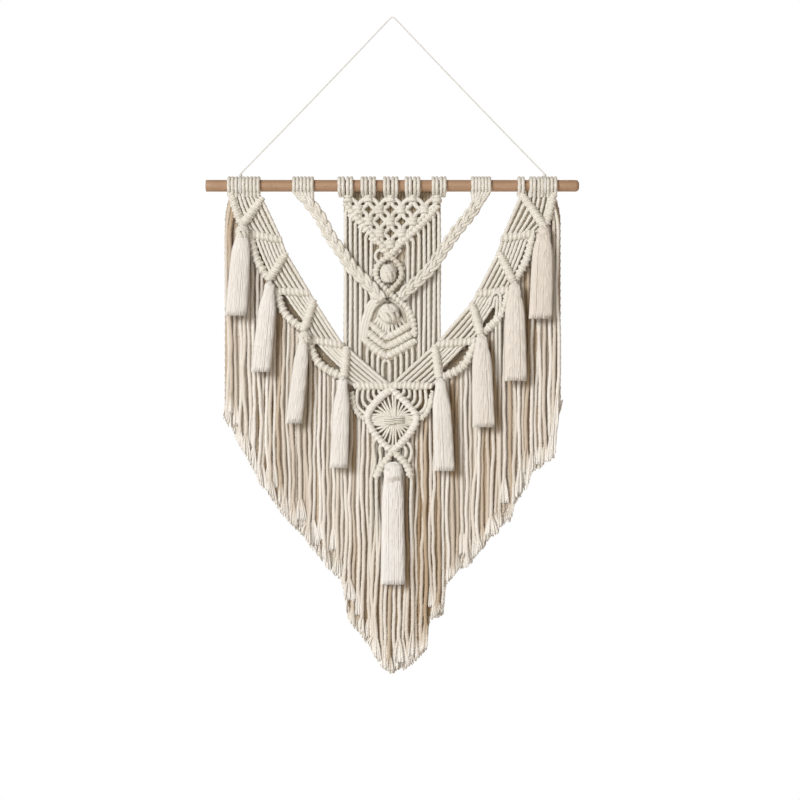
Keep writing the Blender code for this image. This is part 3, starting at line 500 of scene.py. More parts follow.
def along_line(line, x):
    """The down value of a table of (x, down) rows at x."""
    for (x0, down0), (x1, down1) in zip(line, line[1:]):
        if x0 <= x <= x1:
            return mix(down0, down1, (x - x0) / max(x1 - x0, 1e-6))
    return line[0][1] if x < line[0][0] else line[-1][1]


def through(rows, step=STEP):
    """A smooth path through rows of (x, down, y), with a point about every step mm."""
    points = [Vector(row) for row in rows]
    ends = [points[0] * 2 - points[1], *points, points[-1] * 2 - points[-2]]
    path = [points[0]]
    for p0, p1, p2, p3 in zip(ends, ends[1:], ends[2:], ends[3:]):
        count = max(1, round((p2 - p1).length / step))
        for i in range(1, count + 1):
            t = i / count
            path.append(0.5 * (2 * p1 + (p2 - p0) * t + (2 * p0 - 5 * p1 + 4 * p2 - p3) * t * t
                               + (3 * p1 - p0 - 3 * p2 + p3) * t ** 3))
    return path


def level(line, y, step=STEP):
    """A smooth path through rows of (x, down), all of it at one depth."""
    return through([(x, down, y) for x, down in line], step)


def tapered(path, first, last):
    """A value for each point of path, from first to last."""
    return [mix(first, last, n / (len(path) - 1)) for n in range(len(path))]


def heading(path, i):
    """The way that path runs at its point i."""
    return path[min(i + 1, len(path) - 1)] - path[max(i - 1, 0)]


def sideways(along):
    """The direction across along, in the hanging's plane."""
    return Vector((-along[1], along[0], 0.0)).normalized()


def beside(path, across):
    """path moved sideways by mm."""
    return [point + sideways(heading(path, i)) * across for i, point in enumerate(path)]


def squarish(angle):
    """A cosine that stays near 1 and -1 for longer, for a round section with a flattish front."""
    front = math.cos(angle)
    return math.copysign(abs(front) ** 0.6, front)


class Cords:
    """Paths of one piece's cords and rows of hitches, kept until they are swept."""

    # Radius, tone, 1 in a row of hitches; and of such a row its pitch, lean, size, and how much smaller
    # every second hitch is
    NAMES = ("thick", "tone", "hitch", "pitch", "slant", "turn", "pair")

    def __init__(self):
        self.points = []
        self.edges = []
        self.values = {name: [] for name in self.NAMES}

    def lay(self, path, radius=CORD_RADIUS, tone=0.0, hitch=0.0, pitch=1.0, slant=0.0, turn=1.0, pair=0.0):
        """Adds a cord along path; a radius in mm or a tone may be a list, one for each point."""
        first = len(self.points)
        self.points += [in_frame(point) for point in path]
        self.edges += [(first + i, first + i + 1) for i in range(len(path) - 1)]
        for name, value in zip(self.NAMES, (radius, tone, hitch, pitch, slant, turn, pair)):
            scale = MM if name in ("thick", "pitch") else 1.0
            many = value if isinstance(value, list) else [value] * len(path)
            self.values[name] += [scale * each for each in many]

    def hitches(self, path, pitch=2.3, slant=0.35, turn=1.0, pair=0.16, tone=0.0, swell=0.0):
        """Adds a holding cord and turns round it, one to each pitch, every second one smaller by pair.

        The turns grow by swell towards the path's end, and shrink over the 4 mm next to each end.
        """
        sizes = [turn * (0.78 + 0.22 * min(1.0, (point - path[0]).length / 4, (point - path[-1]).length / 4))
                 * growth for point, growth in zip(path, tapered(path, 1.0, 1.0 + swell))]
        # The holding cord shows only between the turns, in their shade, which its browner tone paints
        self.lay(path, [0.85 * CORD_RADIUS * size for size in sizes], tone + 0.5)
        self.lay(path, CORD_RADIUS, tone, 1.0, pitch, slant, sizes, pair)


def cord_tree():
    """Sweeps paths into twisted cords, and sets a ring for each hitch along the other paths."""
    tree = bpy.data.node_groups.new("Knotted cords", "GeometryNodeTree")
    face = tree.interface
    face.new_socket("Paths", in_out="INPUT", socket_type="NodeSocketGeometry")
    for name, kind, value in (("Step", "NodeSocketFloat", 1.8 * MM), ("Sides", "NodeSocketInt", 9),
                              ("Strand Relief", "NodeSocketFloat", 0.08),
                              ("Twist Length", "NodeSocketFloat", 24.0 * MM),
                              ("Hitch Turn", "NodeSocketFloat", HITCH_TURN * MM),
                              ("Hitch Cord", "NodeSocketFloat", CORD_RADIUS * MM),
                              ("Hitch Sides", "NodeSocketInt", 12), ("Seed", "NodeSocketInt", 1)):
        face.new_socket(name, in_out="INPUT", socket_type=kind).default_value = value
    face.new_socket("Material", in_out="INPUT", socket_type="NodeSocketMaterial")
    face.new_socket("Cords", in_out="OUTPUT", socket_type="NodeSocketGeometry")
    given = node(tree, "NodeGroupInput").outputs

    own = {}
    for name in Cords.NAMES:
        reading = node(tree, "GeometryNodeInputNamedAttribute", {"Name": name}, data_type="FLOAT")
        own[name] = reading.outputs["Attribute"]

    def randomly(low, high, which, offset=0.0):
        """A value from low to high for each index in which, on a seed of its own."""
        seed = node(tree, "ShaderNodeMath", {0: given["Seed"], 1: offset}, operation="ADD")
        value = node(tree, "FunctionNodeRandomValue", {2: low, 3: high, "ID": which, "Seed": seed},
                     data_type="FLOAT")
        return value.outputs[1]

    def profile(sides, relief):
        """A circle of radius 1 with three low lobes, and its direction kept for the material."""
        circle = node(tree, "GeometryNodeCurvePrimitiveCircle", {"Resolution": sides, "Radius": 1.0})
        place = node(tree, "GeometryNodeInputPosition").outputs[0]
        parts = node(tree, "ShaderNodeSeparateXYZ", {"Vector": place})
        angle = node(tree, "ShaderNodeMath", {0: parts.outputs["Y"], 1: parts.outputs["X"]},
                     operation="ARCTAN2")
        triple = node(tree, "ShaderNodeMath", {0: angle, 1: 3.0}, operation="MULTIPLY")
        lobe = node(tree, "ShaderNodeMath", {0: triple}, operation="COSINE")
        reach = node(tree, "ShaderNodeMath", {0: lobe, 1: relief}, operation="MULTIPLY")
        offset = node(tree, "ShaderNodeVectorMath", {0: place, "Scale": reach}, operation="SCALE")
        kept = node(tree, "GeometryNodeStoreNamedAttribute",
                    {"Geometry": circle, "Name": "round", "Value": place},
                    data_type="FLOAT_VECTOR", domain="POINT")
        lobed = node(tree, "GeometryNodeSetPosition",
                     {"Geometry": kept, "Offset": offset})
        return lobed.outputs[0]

    parted = node(tree, "GeometryNodeSeparateGeometry",
                  {"Geometry": given["Paths"], "Selection": own["hitch"]}, domain="POINT")

    curves = node(tree, "GeometryNodeMeshToCurve", {"Mesh": parted.outputs["Inverted"]})
    even = node(tree, "GeometryNodeResampleCurve", {"Curve": curves, "Length": given["Step"]},
                mode="LENGTH")
    which = node(tree, "GeometryNodeCurveOfPoint").outputs["Curve Index"]
    length = node(tree, "GeometryNodeSplineParameter").outputs["Length"]
    marked = node(tree, "GeometryNodeStoreNamedAttribute",
                  {"Geometry": even, "Name": "strand", "Value": randomly(0.0, 1.0, which)},
                  data_type="FLOAT", domain="POINT")
    turns = node(tree, "ShaderNodeMath", {0: length, 1: given["Twist Length"]}, operation="DIVIDE")
    started = node(tree, "ShaderNodeMath", {0: turns, 1: randomly(0.0, 1.0, which, 7.0)},
                   operation="ADD")
    tilt = node(tree, "ShaderNodeMath", {0: started, 1: math.tau}, operation="MULTIPLY")
    twisted = node(tree, "GeometryNodeSetCurveTilt", {"Curve": marked, "Tilt": tilt})
    swept = node(tree, "GeometryNodeCurveToMesh",
                 {"Curve": twisted, "Profile Curve": profile(given["Sides"],
                                                                        given["Strand Relief"]),
                  "Scale": own["thick"], "Fill Caps": True})

    rows = node(tree, "GeometryNodeMeshToCurve", {"Mesh": parted.outputs["Selection"]})
    spaced = node(tree, "GeometryNodeResampleCurve", {"Curve": rows, "Length": own["pitch"]},
                  mode="LENGTH")
    ring_line = node(tree, "GeometryNodeCurvePrimitiveCircle",
                     {"Resolution": given["Hitch Sides"], "Radius": given["Hitch Turn"]})
    ring = node(tree, "GeometryNodeCurveToMesh",
                {"Curve": ring_line, "Profile Curve": profile(8, given["Strand Relief"]),
                 "Scale": given["Hitch Cord"]})
    number = node(tree, "GeometryNodeInputIndex").outputs[0]
    lean = node(tree, "ShaderNodeMath", {0: own["slant"], 1: randomly(-0.08, 0.08, number, 1.0)},
                operation="ADD")
    tangent = node(tree, "GeometryNodeInputTangent").outputs[0]
    slanted = node(tree, "ShaderNodeVectorRotate", {"Vector": tangent, "Axis": (0.0, 1.0, 0.0),
                                                    "Angle": lean},
                   rotation_type="AXIS_ANGLE")
    facing = node(tree, "FunctionNodeAlignRotationToVector", {"Vector": slanted}, axis="Z")
    second = node(tree, "ShaderNodeMath", {0: number, 1: 2.0}, operation="MODULO")
    less = node(tree, "ShaderNodeMath", {0: second, 1: own["pair"]}, operation="MULTIPLY")
    share = node(tree, "ShaderNodeMath", {0: 1.0, 1: less}, operation="SUBTRACT")
    varied = node(tree, "ShaderNodeMath", {0: share, 1: randomly(0.95, 1.05, number, 2.0)},
                  operation="MULTIPLY")
    size = node(tree, "ShaderNodeMath", {0: own["turn"], 1: varied}, operation="MULTIPLY")
    placed = node(tree, "GeometryNodeInstanceOnPoints",
                  {"Points": spaced, "Instance": ring,
                   "Rotation": facing, "Scale": size})
    index = node(tree, "GeometryNodeInputIndex").outputs[0]
    toned = node(tree, "GeometryNodeStoreNamedAttribute",
                 {"Geometry": placed, "Name": "strand", "Value": randomly(0.0, 1.0, index, 3.0)},
                 data_type="FLOAT", domain="INSTANCE")

    joined = node(tree, "GeometryNodeJoinGeometry")
    tree.links.new(swept.outputs[0], joined.inputs[0])
    tree.links.new(toned.outputs[0], joined.inputs[0])
    solid = node(tree, "GeometryNodeRealizeInstances", {"Geometry": joined})
    # Cut ends stay flat, or else a yarn is shaded down to its tip as if that were round
    corners = node(tree, "GeometryNodeCornersOfFace").outputs["Total"]
    wall = node(tree, "ShaderNodeMath", {0: corners, 1: 4.5}, operation="LESS_THAN")
    smooth = node(tree, "GeometryNodeSetShadeSmooth",
                  {"Geometry": solid, "Selection": wall})
    done = node(tree, "GeometryNodeSetMaterial", {"Geometry": smooth,
                                                  "Material": given["Material"]})
    node(tree, "NodeGroupOutput", {"Cords": done})
    return tree


def tied(name, cords, material, slot, nodes, **sizes):
    """Turns the paths into one plain mesh that stands for nodes; sizes are the tree's inputs."""
    guide_mesh = bpy.data.meshes.new(name + "_paths")
    guide_mesh.from_pydata(cords.points, cords.edges, [])
    for key, values in cords.values.items():
        guide_mesh.attributes.new(key, "FLOAT", "POINT").data.foreach_set("value", values)
    guide = bpy.data.objects.new(name + "_paths", guide_mesh)
    bpy.context.scene.collection.objects.link(guide)
    tree = bpy.data.node_groups.get("Knotted cords") or cord_tree()
    modifier = guide.modifiers.new("Knotted cords", "NODES")
    modifier.node_group = tree
    sizes["Material"] = material
    for item in tree.interface.items_tree:
        if item.in_out == "INPUT" and item.name in sizes:
            modifier[item.identifier] = sizes[item.name]
    seen = guide.evaluated_get(bpy.context.evaluated_depsgraph_get())
    mesh = bpy.data.meshes.new_from_object(seen)
    guide.modifiers.remove(modifier)
    bpy.data.objects.remove(guide)
    bpy.data.meshes.remove(guide_mesh)
    # The material reads only the first two
    for key in Cords.NAMES[2:]:
        if key in mesh.attributes:
            mesh.attributes.remove(mesh.attributes[key])
    return show(name, mesh, nodes)


def show(name, mesh, nodes):
    """Links a finished mesh, hangs it on the body and hides the parts that it stands for."""
    mesh.name = name
    piece = bpy.data.objects.new(name, mesh)
    bpy.context.scene.collection.objects.link(piece)
    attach(piece, BODY)
    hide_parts(*nodes)
    return piece


# ---------------------------------------------------------------- knots

def lay_loops(cords, left, right, count, exit_y, exit_down=13.0, squeeze=1.0, middle=None):
    """Cords looped side by side over the dowel, both their ends run to exit_y below it.

    There they stand round middle, with squeeze times their distance on the dowel.
    """
    middle = 0.5 * (left + right) if middle is None else middle
    # Four cords are two doubled ones, with a small gap between the pairs
    parting = 0.45 if count == 4 else 0.0
    for i in range(count):
        x = mix(left, right, (i + 0.5) / count) + parting * (1 if 2 * i >= count else -1)
        foot = middle + (x - 0.5 * (left + right)) * squeeze
        # From under the dowel over its front, its top and its back
        turn = [(x, LOOP_RADIUS * math.cos(angle), -LOOP_RADIUS * math.sin(angle))
                for angle in (mix(0.62, 5.6, step / 14) for step in range(15))]
        rows = [(foot, exit_down, exit_y), *turn, (mix(x, foot, 0.8), exit_down - 1.0, exit_y + 3.0)]
        cords.lay(through(rows, TIGHT))


def lay_square_knot(cords, x, down, y, size=1.0):
    """Two bands that cross over the filler cords and hold each other at the sides."""
    for band in KNOT_BANDS:
        rows = [(x + size * dx, down + size * dd, y + size * dy) for dx, dd, dy in band]
        cords.lay(through(rows, TIGHT), KNOT_CORD * size)


def lay_legs(cords, start, end, y):
    """The two cords from one knot to the next, parted a little on the way."""
    whole = Vector((end[0] - start[0], end[1] - start[1], 0.0))
    along = whole.normalized()
    first, last = KNOT_LEGS[0][0], KNOT_LEGS[-1][0]
    scale = whole.length / (first + last)
    radii = [(reach, radius) for reach, _, _, radius in KNOT_LEGS]
    for way in (-1, 1):
        rows = [Vector((*start, y + depth)) + along * (reach * scale) + sideways(along) * (way * apart)
                for reach, apart, depth, _ in KNOT_LEGS]
        path = through(rows, TIGHT)
        cords.lay(path, [along_line(radii, station) for station in tapered(path, first, last)])


def lay_net(cords, rng):
    """Rows of square knots, each row one knot shorter, with two cords from knot to knot."""
    row = [0.5 * (left + right) for left, right, _ in PANEL_LOOPS]
    row[0] += NET_INSET[0]
    row[-1] -= NET_INSET[1]
    for number in range(NET_ROWS):
        down = NET_TOP + number * NET_PITCH
        below = [0.5 * (a + b) for a, b in zip(row, row[1:])]
        for x in row:
            lay_square_knot(cords, x + rng.uniform(-0.3, 0.3), down + rng.uniform(-0.3, 0.3), PANEL_Y,
                            rng.uniform(*KNOT_SIZES))
        for i, x in enumerate(below):
            for parent in (row[i], row[i + 1]):
                lay_legs(cords, (parent, down), (x, down + NET_PITCH), PANEL_Y)
        if number:
            # The outermost cords run into the V of hitches
            for x, way in ((row[0], -1), (row[-1], 1)):
                lay_legs(cords, (x, down), (x + way * NET_EDGE[0], down + NET_EDGE[1]), PANEL_Y + 0.8)
        row = below


def lay_berry(cords, x, down, half_width, half_height, y, rng, cord=3.0):
    """A rolled-up sinnet: a ball of thick cords that swirl, sink and swell unevenly."""
    strands = 7
    # The middle lines of the cords lie inside the ball's skin, and the ball is flatter than wide
    wide, high, flat = half_width - 0.85 * cord, half_height - 0.75 * cord, 0.72
    for k in range(strands):
        offset = rng.uniform(-0.12, 0.12)
        rows = []
        for step in range(9):
            rise = mix(-1.25, 1.25, step / 8)
            turn = math.tau * (k + 0.3) / strands + 0.8 * rise + offset
            reach = wide * (1.0 + rng.uniform(-0.1, 0.1)) * math.cos(rise)
            rows.append((x + reach * math.sin(turn), down + high * math.sin(rise),
                         y - flat * reach * math.cos(turn)))
        path = through(rows, TIGHT)
        cords.lay(path, [cord * (0.92 + 0.1 * math.sin(0.9 * n + 2.0 * k)) for n in range(len(path))])
    # The wrap over the ball's top: how high up it lies, and its share of the width
    for lift, share in ((0.72, 0.62), (0.42, 0.9)):
        reach = share * wide
        rows = [(x + 1.12 * reach * math.sin(angle), down - high * lift + 1.2 * math.cos(angle),
                 y - (flat * reach + 1.6) * math.cos(angle)) for angle in (-1.3, -0.65, 0.0, 0.65, 1.3)]
        cords.lay(through(rows, TIGHT), 0.62 * cord)


def lay_column(cords, rng):
    """Two berry knots, the arms that part round them and cross, and the loop over them."""
    for x, down, wide, high in BERRIES:
        lay_berry(cords, x, down, wide, high, BERRY_Y, rng)
    for line in COLUMN_SHADED:
        cords.lay(level(line, PANEL_Y + 1.2), 2.3, 0.3)
    cords.hitches(level(COLUMN_UNDER, PANEL_Y - 0.6), slant=-0.3, turn=0.96, pair=0.26)
    # The second arm comes forward on its way, to cross over the first one
    over = through([(x, down, PANEL_Y - 1.0 - 0.25 * k) for k, (x, down) in enumerate(COLUMN_OVER)])
    # Its slightly browner tone is painted shade beside the upper berry
    cords.hitches(over, slant=0.3, turn=0.9, pair=0.26, tone=0.2)
    left = through([(x, down, PANEL_Y - 3.0 + 0.3 * k) for k, (x, down) in enumerate(COLUMN_LEFT)])
    for across in (-2.5, 0.4, 3.0):
        cords.lay(beside(left, across), tapered(left, 3.0, 2.1))
    cords.lay(through([(x, down, PANEL_Y + depth) for x, down, depth in FOOT_LOOP]), 1.9)


def lay_chevrons(cords):
    """The chevrons of hitches, the short cords over them and the hanging cords under them."""
    for x0, down0, tip_x, tip_down, x2, down2, turn in CHEVRONS:
        for x, down, way in ((x0, down0, 1), (x2, down2, -1)):
            path = through([(x, down, PANEL_Y - 0.6),
                            (mix(x, tip_x, 0.5), mix(down, tip_down, 0.5) + 0.6, PANEL_Y - 1.2),
                            (tip_x, tip_down, PANEL_Y - 0.6)])
            cords.hitches(path, pitch=2.35, slant=0.2 * way, turn=turn, pair=0.1)
            # A cord behind the seam to the next chevron, browner as painted shade in the seam
            cords.lay([point + Vector((0.0, 5.0, 2.0)) for point in path], 2.0, 0.6)
    # Short cords from under the lower berry into the first chevron
    x0, down0, tip_x, tip_down, x2, down2, _ = CHEVRONS[0]
    berry_x, berry_down = BERRIES[1][:2]
    for k in range(5):
        for end_x, end_down in ((x0, down0), (x2, down2)):
            share = 0.08 + 0.19 * k
            x, down = mix(tip_x, end_x, share), mix(tip_down, end_down, share)
            path = through([(mix(berry_x, x, 0.62), mix(berry_down, down, 0.3), PANEL_Y - 1.6),
                            (x, down - 1.0, PANEL_Y - 0.6)])
            cords.lay(path, tapered(path, 2.5, 1.25))
    x0, down0, tip_x, tip_down, x2, down2, _ = CHEVRONS[-1]
    for x in CHEVRON_CORDS:
        start = along_line(((x0, down0), (tip_x, tip_down), (x2, down2)), x)
        lay_hooked(cords, x, start, 1.0 if x < tip_x else -0.6, PANEL_END)
    for x, lean in TIP_CORDS:
        cords.lay(through([(x + 3.0 * lean, tip_down + 4.0, PANEL_Y), (x, tip_down + 8.5, PANEL_Y - 0.6),
                           (x, PANEL_END, PANEL_Y)]))


def lay_hooked(cords, x, start, lean, end, sway=0.0):
    """A cord that leaves a row of hitches sidewards and bends down to hang."""
    rows = [(x + 6.0 * lean, start + 1.5, PANEL_Y), (x + 2.2 * lean, start + 5.0, PANEL_Y - 1.0),
            (x + 0.1 * lean, start + 9.5, PANEL_Y - 0.8), (x, start + 16.0, PANEL_Y - 0.4),
            (x + sway, mix(start, end, 0.5), PANEL_Y), (x - sway, mix(start, end, 0.78), PANEL_Y),
            (x, end, PANEL_Y)]
    cords.lay(through(rows, 2.2), CORD_RADIUS)


def lay_curtain(cords, rng):
    """Plain cords that hang behind the whole panel, browner in tone as painted shade in the gaps between the
    panel's cords.
    """
    first, last, count = CURTAIN
    for i in range(count):
        x = mix(first, last, i / (count - 1))
        depth = PANEL_BACK_Y + 0.5 * (i % 2)
        rows = [(x, 4.5, PANEL_BACK_Y), (x, 12.0, depth), (x + rng.uniform(-0.6, 0.6), 90.0, depth),
                (x + rng.uniform(-0.5, 0.5), 150.0, depth), (x, PANEL_END, depth)]
        path = through(rows, 3.5)
        own = rng.uniform(0.35, 0.65)
        # Painted shade: browner still behind the net, where little light comes
        cords.lay(path, 2.3, [own + 0.5 * clamp((85.0 - point[1]) / 30.0) for point in path])


def lay_panel(cords, rng):
    """Loops, net, V of hitches, hanging cords, the curtain behind them, and the middle column."""
    for left, right, count in PANEL_LOOPS:
        lay_loops(cords, left, right, count, PANEL_Y - 1.0, 11.0, 0.85)
    lay_net(cords, rng)
    for arm, lean in ((V_LEFT, 1.0), (V_RIGHT, -1.0)):
        cords.hitches(level(arm, PANEL_Y - 1.0), pitch=2.45, slant=0.35 * lean, pair=0.27)
    for x, end in V_CORDS:
        left = x < V_LEFT[-1][0]
        start = along_line(V_LEFT if left else V_RIGHT[::-1], x)
        lay_hooked(cords, x, start, 1.0 if left else -1.0, end, rng.uniform(-0.5, 0.5))
    lay_curtain(cords, rng)
    lay_column(cords, rng)
    lay_chevrons(cords)


def lay_braid(cords, side):
    """A flat plait of three strands, each of two cords, from its loops on the dowel."""
    top_x, top_down = BRAID_TOPS[side]
    apart, radius = BRAID_STRAND[side]
    lay_loops(cords, *BRAID_LOOPS[side], BRAID_Y + 0.6, top_down, 0.5, top_x)
    middle = level(BRAID_LINES[side][1:], BRAID_Y, 1.5)
    length = [0.0]
    for a, b in zip(middle, middle[1:]):
        length.append(length[-1] + (b - a).length)
    for strand in range(3):
        for pair in (-1.0, 1.0):
            path = []
            for i, point in enumerate(middle):
                phase = math.tau * (length[i] / BRAID_PERIOD + strand / 3)
                # The plait opens to its full width over its first 8 mm
                opening = min(1.0, 0.6 + length[i] / 20)
                shift = opening * (BRAID_SWING * math.sin(phase) + pair * apart)
                depth = BRAID_DEPTH * math.sin(2 * phase)
                path.append(point + sideways(heading(middle, i)) * shift + Vector((0.0, 0.0, depth)))
            cords.lay(path, radius)


def lay_cell(cords, upper, lower, reach, way, first, rng):
    """The cords between two rungs, which fill reach of them: a front layer, and one behind that is browner as
    painted shade.
    """
    spaces = SWAG_LAYERS[0][3] - 1
    for shift, depth, tone, count in SWAG_LAYERS:
        for i in range(count):
            share = 0.02 + reach * (i + shift) / spaces
            start, end = (Vector((mix(rung[2], rung[0], share), mix(rung[3], rung[1], share), SWAG_Y + depth))
                          for rung in (upper, lower))
            along = (end - start).normalized()
            bow = sideways(along) * (-way * (0.9 * share + rng.uniform(-0.3, 0.3)))
            middle = start.lerp(end, 0.5) + bow + Vector((0.0, 0.0, 0.6 * (i % 2)))
            # The two cords along the inner edge are the thickest
            radius = 2.0 if i < 2 and not depth else 1.75
            # In the first cell they come out from under the dowel
            more = 3.4 if first else 1.5
            cords.lay(through([start - along * more, middle, end + along * 1.5], 2.5), radius, tone)


def lay_ridge(cords, upper, lower, bulge, size, way):
    """The hitched ridge along a cell's outer edge, and in its open crescent deep brown cords that paint its
    shade.
    """
    top, foot = Vector((*upper[:2], SWAG_Y)), Vector((*lower[:2], SWAG_Y))
    middle = top.lerp(foot, 0.5)
    out = sideways(foot - top)
    if out[0] * way < 0:
        out.negate()
    ridge = through([top, middle + out * bulge, foot])
    cords.hitches(ridge, pitch=3.0, slant=0.14 * way, turn=size, pair=0.2)
    # Painted shade: deep brown cords fill the open crescent
    for k in range(4 if bulge > CRESCENT_BULGE else 0):
        inner = through([top, middle + out * (bulge - 2.4 - 3.0 * k), foot], 3.0)
        cords.lay([Vector((*point[:2], CRESCENT_Y)) for point in inner], 2.3, 1.7)


def lay_swag(cords, side, rng):
    """Cords between slanted and level bars, with a hitched ridge along the lower edge."""
    way = -1.0 if side == "left" else 1.0
    for row in SWAG_LOOPS[side]:
        lay_loops(cords, *row, SWAG_Y, 12.0)
    rungs = SWAG_RUNGS[side]
    for number, (upper, lower) in enumerate(zip(rungs, rungs[1:])):
        bulge, reach, size = SWAG_RIDGES.get(number, (0.0, 0.95, 1.0))
        lay_cell(cords, upper, lower, reach, way, number == 0, rng)
        if bulge:
            lay_ridge(cords, upper, lower, bulge, size, way)
    for number, (x0, down0, x1, down1) in enumerate(rungs[1:], 1):
        if number % 2:
            # A slanted bar comes forward towards the tassel that it carries
            path = through([(x1, down1, SWAG_Y - 0.6),
                            (mix(x1, x0, 0.5), mix(down1, down0, 0.5), SWAG_Y - 2.0),
                            (x0, down0, SWAG_Y - 2.4)])
            cords.hitches(path, pitch=2.7, slant=0.25 * way, turn=1.08, pair=0.1, swell=0.2)
        else:
            path = through([(x0, down0, SWAG_Y - 0.8), (x1, down1, SWAG_Y - 0.4)])
            cords.hitches(path, slant=0.35 * way, turn=1.14, pair=0.2)
    if side == "left":
        for x, down, wide in SWAG_LUMPS:
            lay_berry(cords, x, down, wide, 1.05 * wide, TASSEL_Y - 1.5, rng, 2.3)
    else:
        for picot in PICOTS:
            cords.lay(through(picot, 2.0), 1.8)


def lay_diamond(cords, rng):
    """The hitched diamond with its gathered bundle, the shoulders above and the arms below."""
    rings = {}
    for side, line in DIAMOND_SIDES.items():
        rows = [(*DIAMOND_TOP, SWAG_Y - 1.0), *((x, down, SWAG_Y - 1.4) for x, down in line),
                (*DIAMOND_FOOT, SWAG_Y - 1.0 - 0.8 * side)]
        ring = through(rows)
        rings[side] = ring
        half = len(ring) // 2
        # The upper left side is the smoothest one
        uneven = 0.06 if side < 0 else 0.2
        cords.hitches(ring[:half + 1], pitch=2.4, slant=0.3 * side, turn=1.06, pair=uneven, tone=RING_TONE)
        cords.hitches(ring[half:], pitch=2.4, slant=-0.3 * side, turn=1.06, pair=0.2, tone=RING_TONE)
    for arm, lift in zip(DIAMOND_ARMS, (-2.4, -1.0)):
        cords.hitches(level(arm, SWAG_Y + lift), pitch=2.5, slant=0.3, turn=1.02, pair=0.2, swell=0.15)
    for loop in DIAMOND_LOOPS:
        rows = [(x, down, SWAG_Y - 0.4 + LOOP_SINK[1] * max(0.0, down - LOOP_SINK[0])) for x, down in loop]
        cords.lay(through(rows), 2.0)
    lay_bundle(cords, rings, rng)
    lay_wrap(cords)
    lay_shoulders(cords, rings)


def lay_bundle(cords, rings, rng):
    """Cords that fan out from the wrap to the diamond's ring, and a layer of them behind, browner as painted
    shade.
    """
    for side in (-1, 1):
        corner = rings[side][len(rings[side]) // 2]
        for lift in CORNER_CORDS:
            path = through([(WRAP[0] + side * (WRAP_HALF - 3.0), WRAP[1] + 0.6 * lift, SWAG_Y - 1.6),
                            (corner[0], WRAP[1] + lift, SWAG_Y)])
            cords.lay(path, tapered(path, 1.5, 1.0))
    for way in (-1, 1):
        for depth, count, tone, reach in BUNDLE_LAYERS:
            for i in range(count):
                share = (2 * i / (count - 1) - 1) * reach
                ring = rings[-1 if share < 0 else 1]
                # Half a ring from its tip to its corner
                place = 0.5 * abs(share) if way < 0 else 1.0 - 0.5 * abs(share)
                end = ring[min(len(ring) - 1, round(place * (len(ring) - 1)))]
                rise = rng.uniform(-0.7, 0.7)
                path = through([
                    (WRAP[0] + share * (WRAP_HALF - 2.2), WRAP[1], SWAG_Y - 2.2 + depth),
                    (WRAP[0] + share * (WRAP_HALF - 0.6), WRAP[1] + 5.0 * way, SWAG_Y - 2.4 + depth + rise),
                    (end[0] + rng.uniform(-0.7, 0.7), end[1], SWAG_Y + 0.4 + depth)])
                cords.lay(path, tapered(path, 1.6, 1.0), tone)


def lay_wrap(cords):
    """Three thin turns round the bundle's middle."""
    for turn in range(3):
        down = WRAP[1] - 3.1 + 2.5 * turn
        angles = [math.tau * step / 12 for step in range(13)]
        rows = [(WRAP[0] + WRAP_HALF * math.sin(angle), down + 1.2 * angle / math.tau,
                 SWAG_Y - 2.0 - 5.0 * math.cos(angle)) for angle in angles]
        cords.lay(through(rows), YARN_RADIUS)


def lay_shoulders(cords, rings):
    """The cords that bend from the lowest bars into the diamond's upper sides, and their ridges."""
    for side, ring in rings.items():
        for i in range(SHOULDER_CORDS):
            share = i / (SHOULDER_CORDS - 1)
            x = mix(SHOULDER_OUTER[side], SHOULDER_INNER[side], share)
            end_x, end_down, _ = ring[round(mix(0.46, 0.12, share) * (len(ring) - 1))]
            knee = (mix(x, end_x, -0.06), mix(SHOULDER_TOP, end_down, 0.58))
            cords.lay(level(((x, SHOULDER_TOP - 3.0), knee, (end_x, end_down)), SWAG_Y), 1.9)
    for ridge, way in zip(SHOULDER_RIDGES, (-1, 1)):
        cords.hitches(level(ridge, SWAG_Y), pitch=2.4, slant=0.3 * way, turn=0.88, pair=0.2)


def lay_tassel(cords, row, y, rng, outline):
    """A skirt of fine yarns that opens from its neck to a straight cut hem."""
    x, down, hem_x, hem_down, hem_width, tone = row
    top, foot = Vector((x, down, y)), Vector((hem_x, hem_down, y))
    widths = [(share, 0.5 * hem_width * wide) for share, wide, _ in outline]
    depths = [(share, deep) for share, _, deep in outline]

    def at(share, angle, inner, sway=0.0):
        """A place in the tassel: angle 0 is its front, inner 1 its skin and 0 its middle."""
        wide = (along_line(widths, share) - YARN_RADIUS) * inner
        deep = (along_line(depths, share) - YARN_RADIUS) * inner
        return top.lerp(foot, share) + Vector((math.sin(angle) * wide + sway, 0.0, -squarish(angle) * deep))

    shares = sorted({0.0, 1.0, *(share for share, _, _ in outline), *(step / 9 for step in range(1, 9))})
    for inner, count in SKIRT_YARNS:
        for k in range(count):
            angle = math.tau * (k + 0.5 * inner) / count + rng.uniform(-0.08, 0.08)
            phase, sway = rng.uniform(0, math.tau), rng.uniform(0.05, 0.3)
            # No two yarns are cut at quite the same height
            uneven = (foot - top) * rng.uniform(-0.006, 0.003)
            path = [at(share, angle, inner, sway * math.sin(5 * share + phase) * share) + uneven * share
                    for share in shares]
            cords.lay(through(path, 6.0), YARN_RADIUS * rng.uniform(0.94, 1.06), tone + rng.uniform(0.0, 0.1))
    # A few thick cords fill the inside
    for k in (-0.9, -0.5, 0.0, 0.5, 0.9):
        path = through([at(share, 0.5 * math.pi, 0.62 * k) for share in (0.02, 0.25, 0.6, 0.98)], 6.0)
        cords.lay(path, tapered(path, 2.0, 3.4), 0.1)


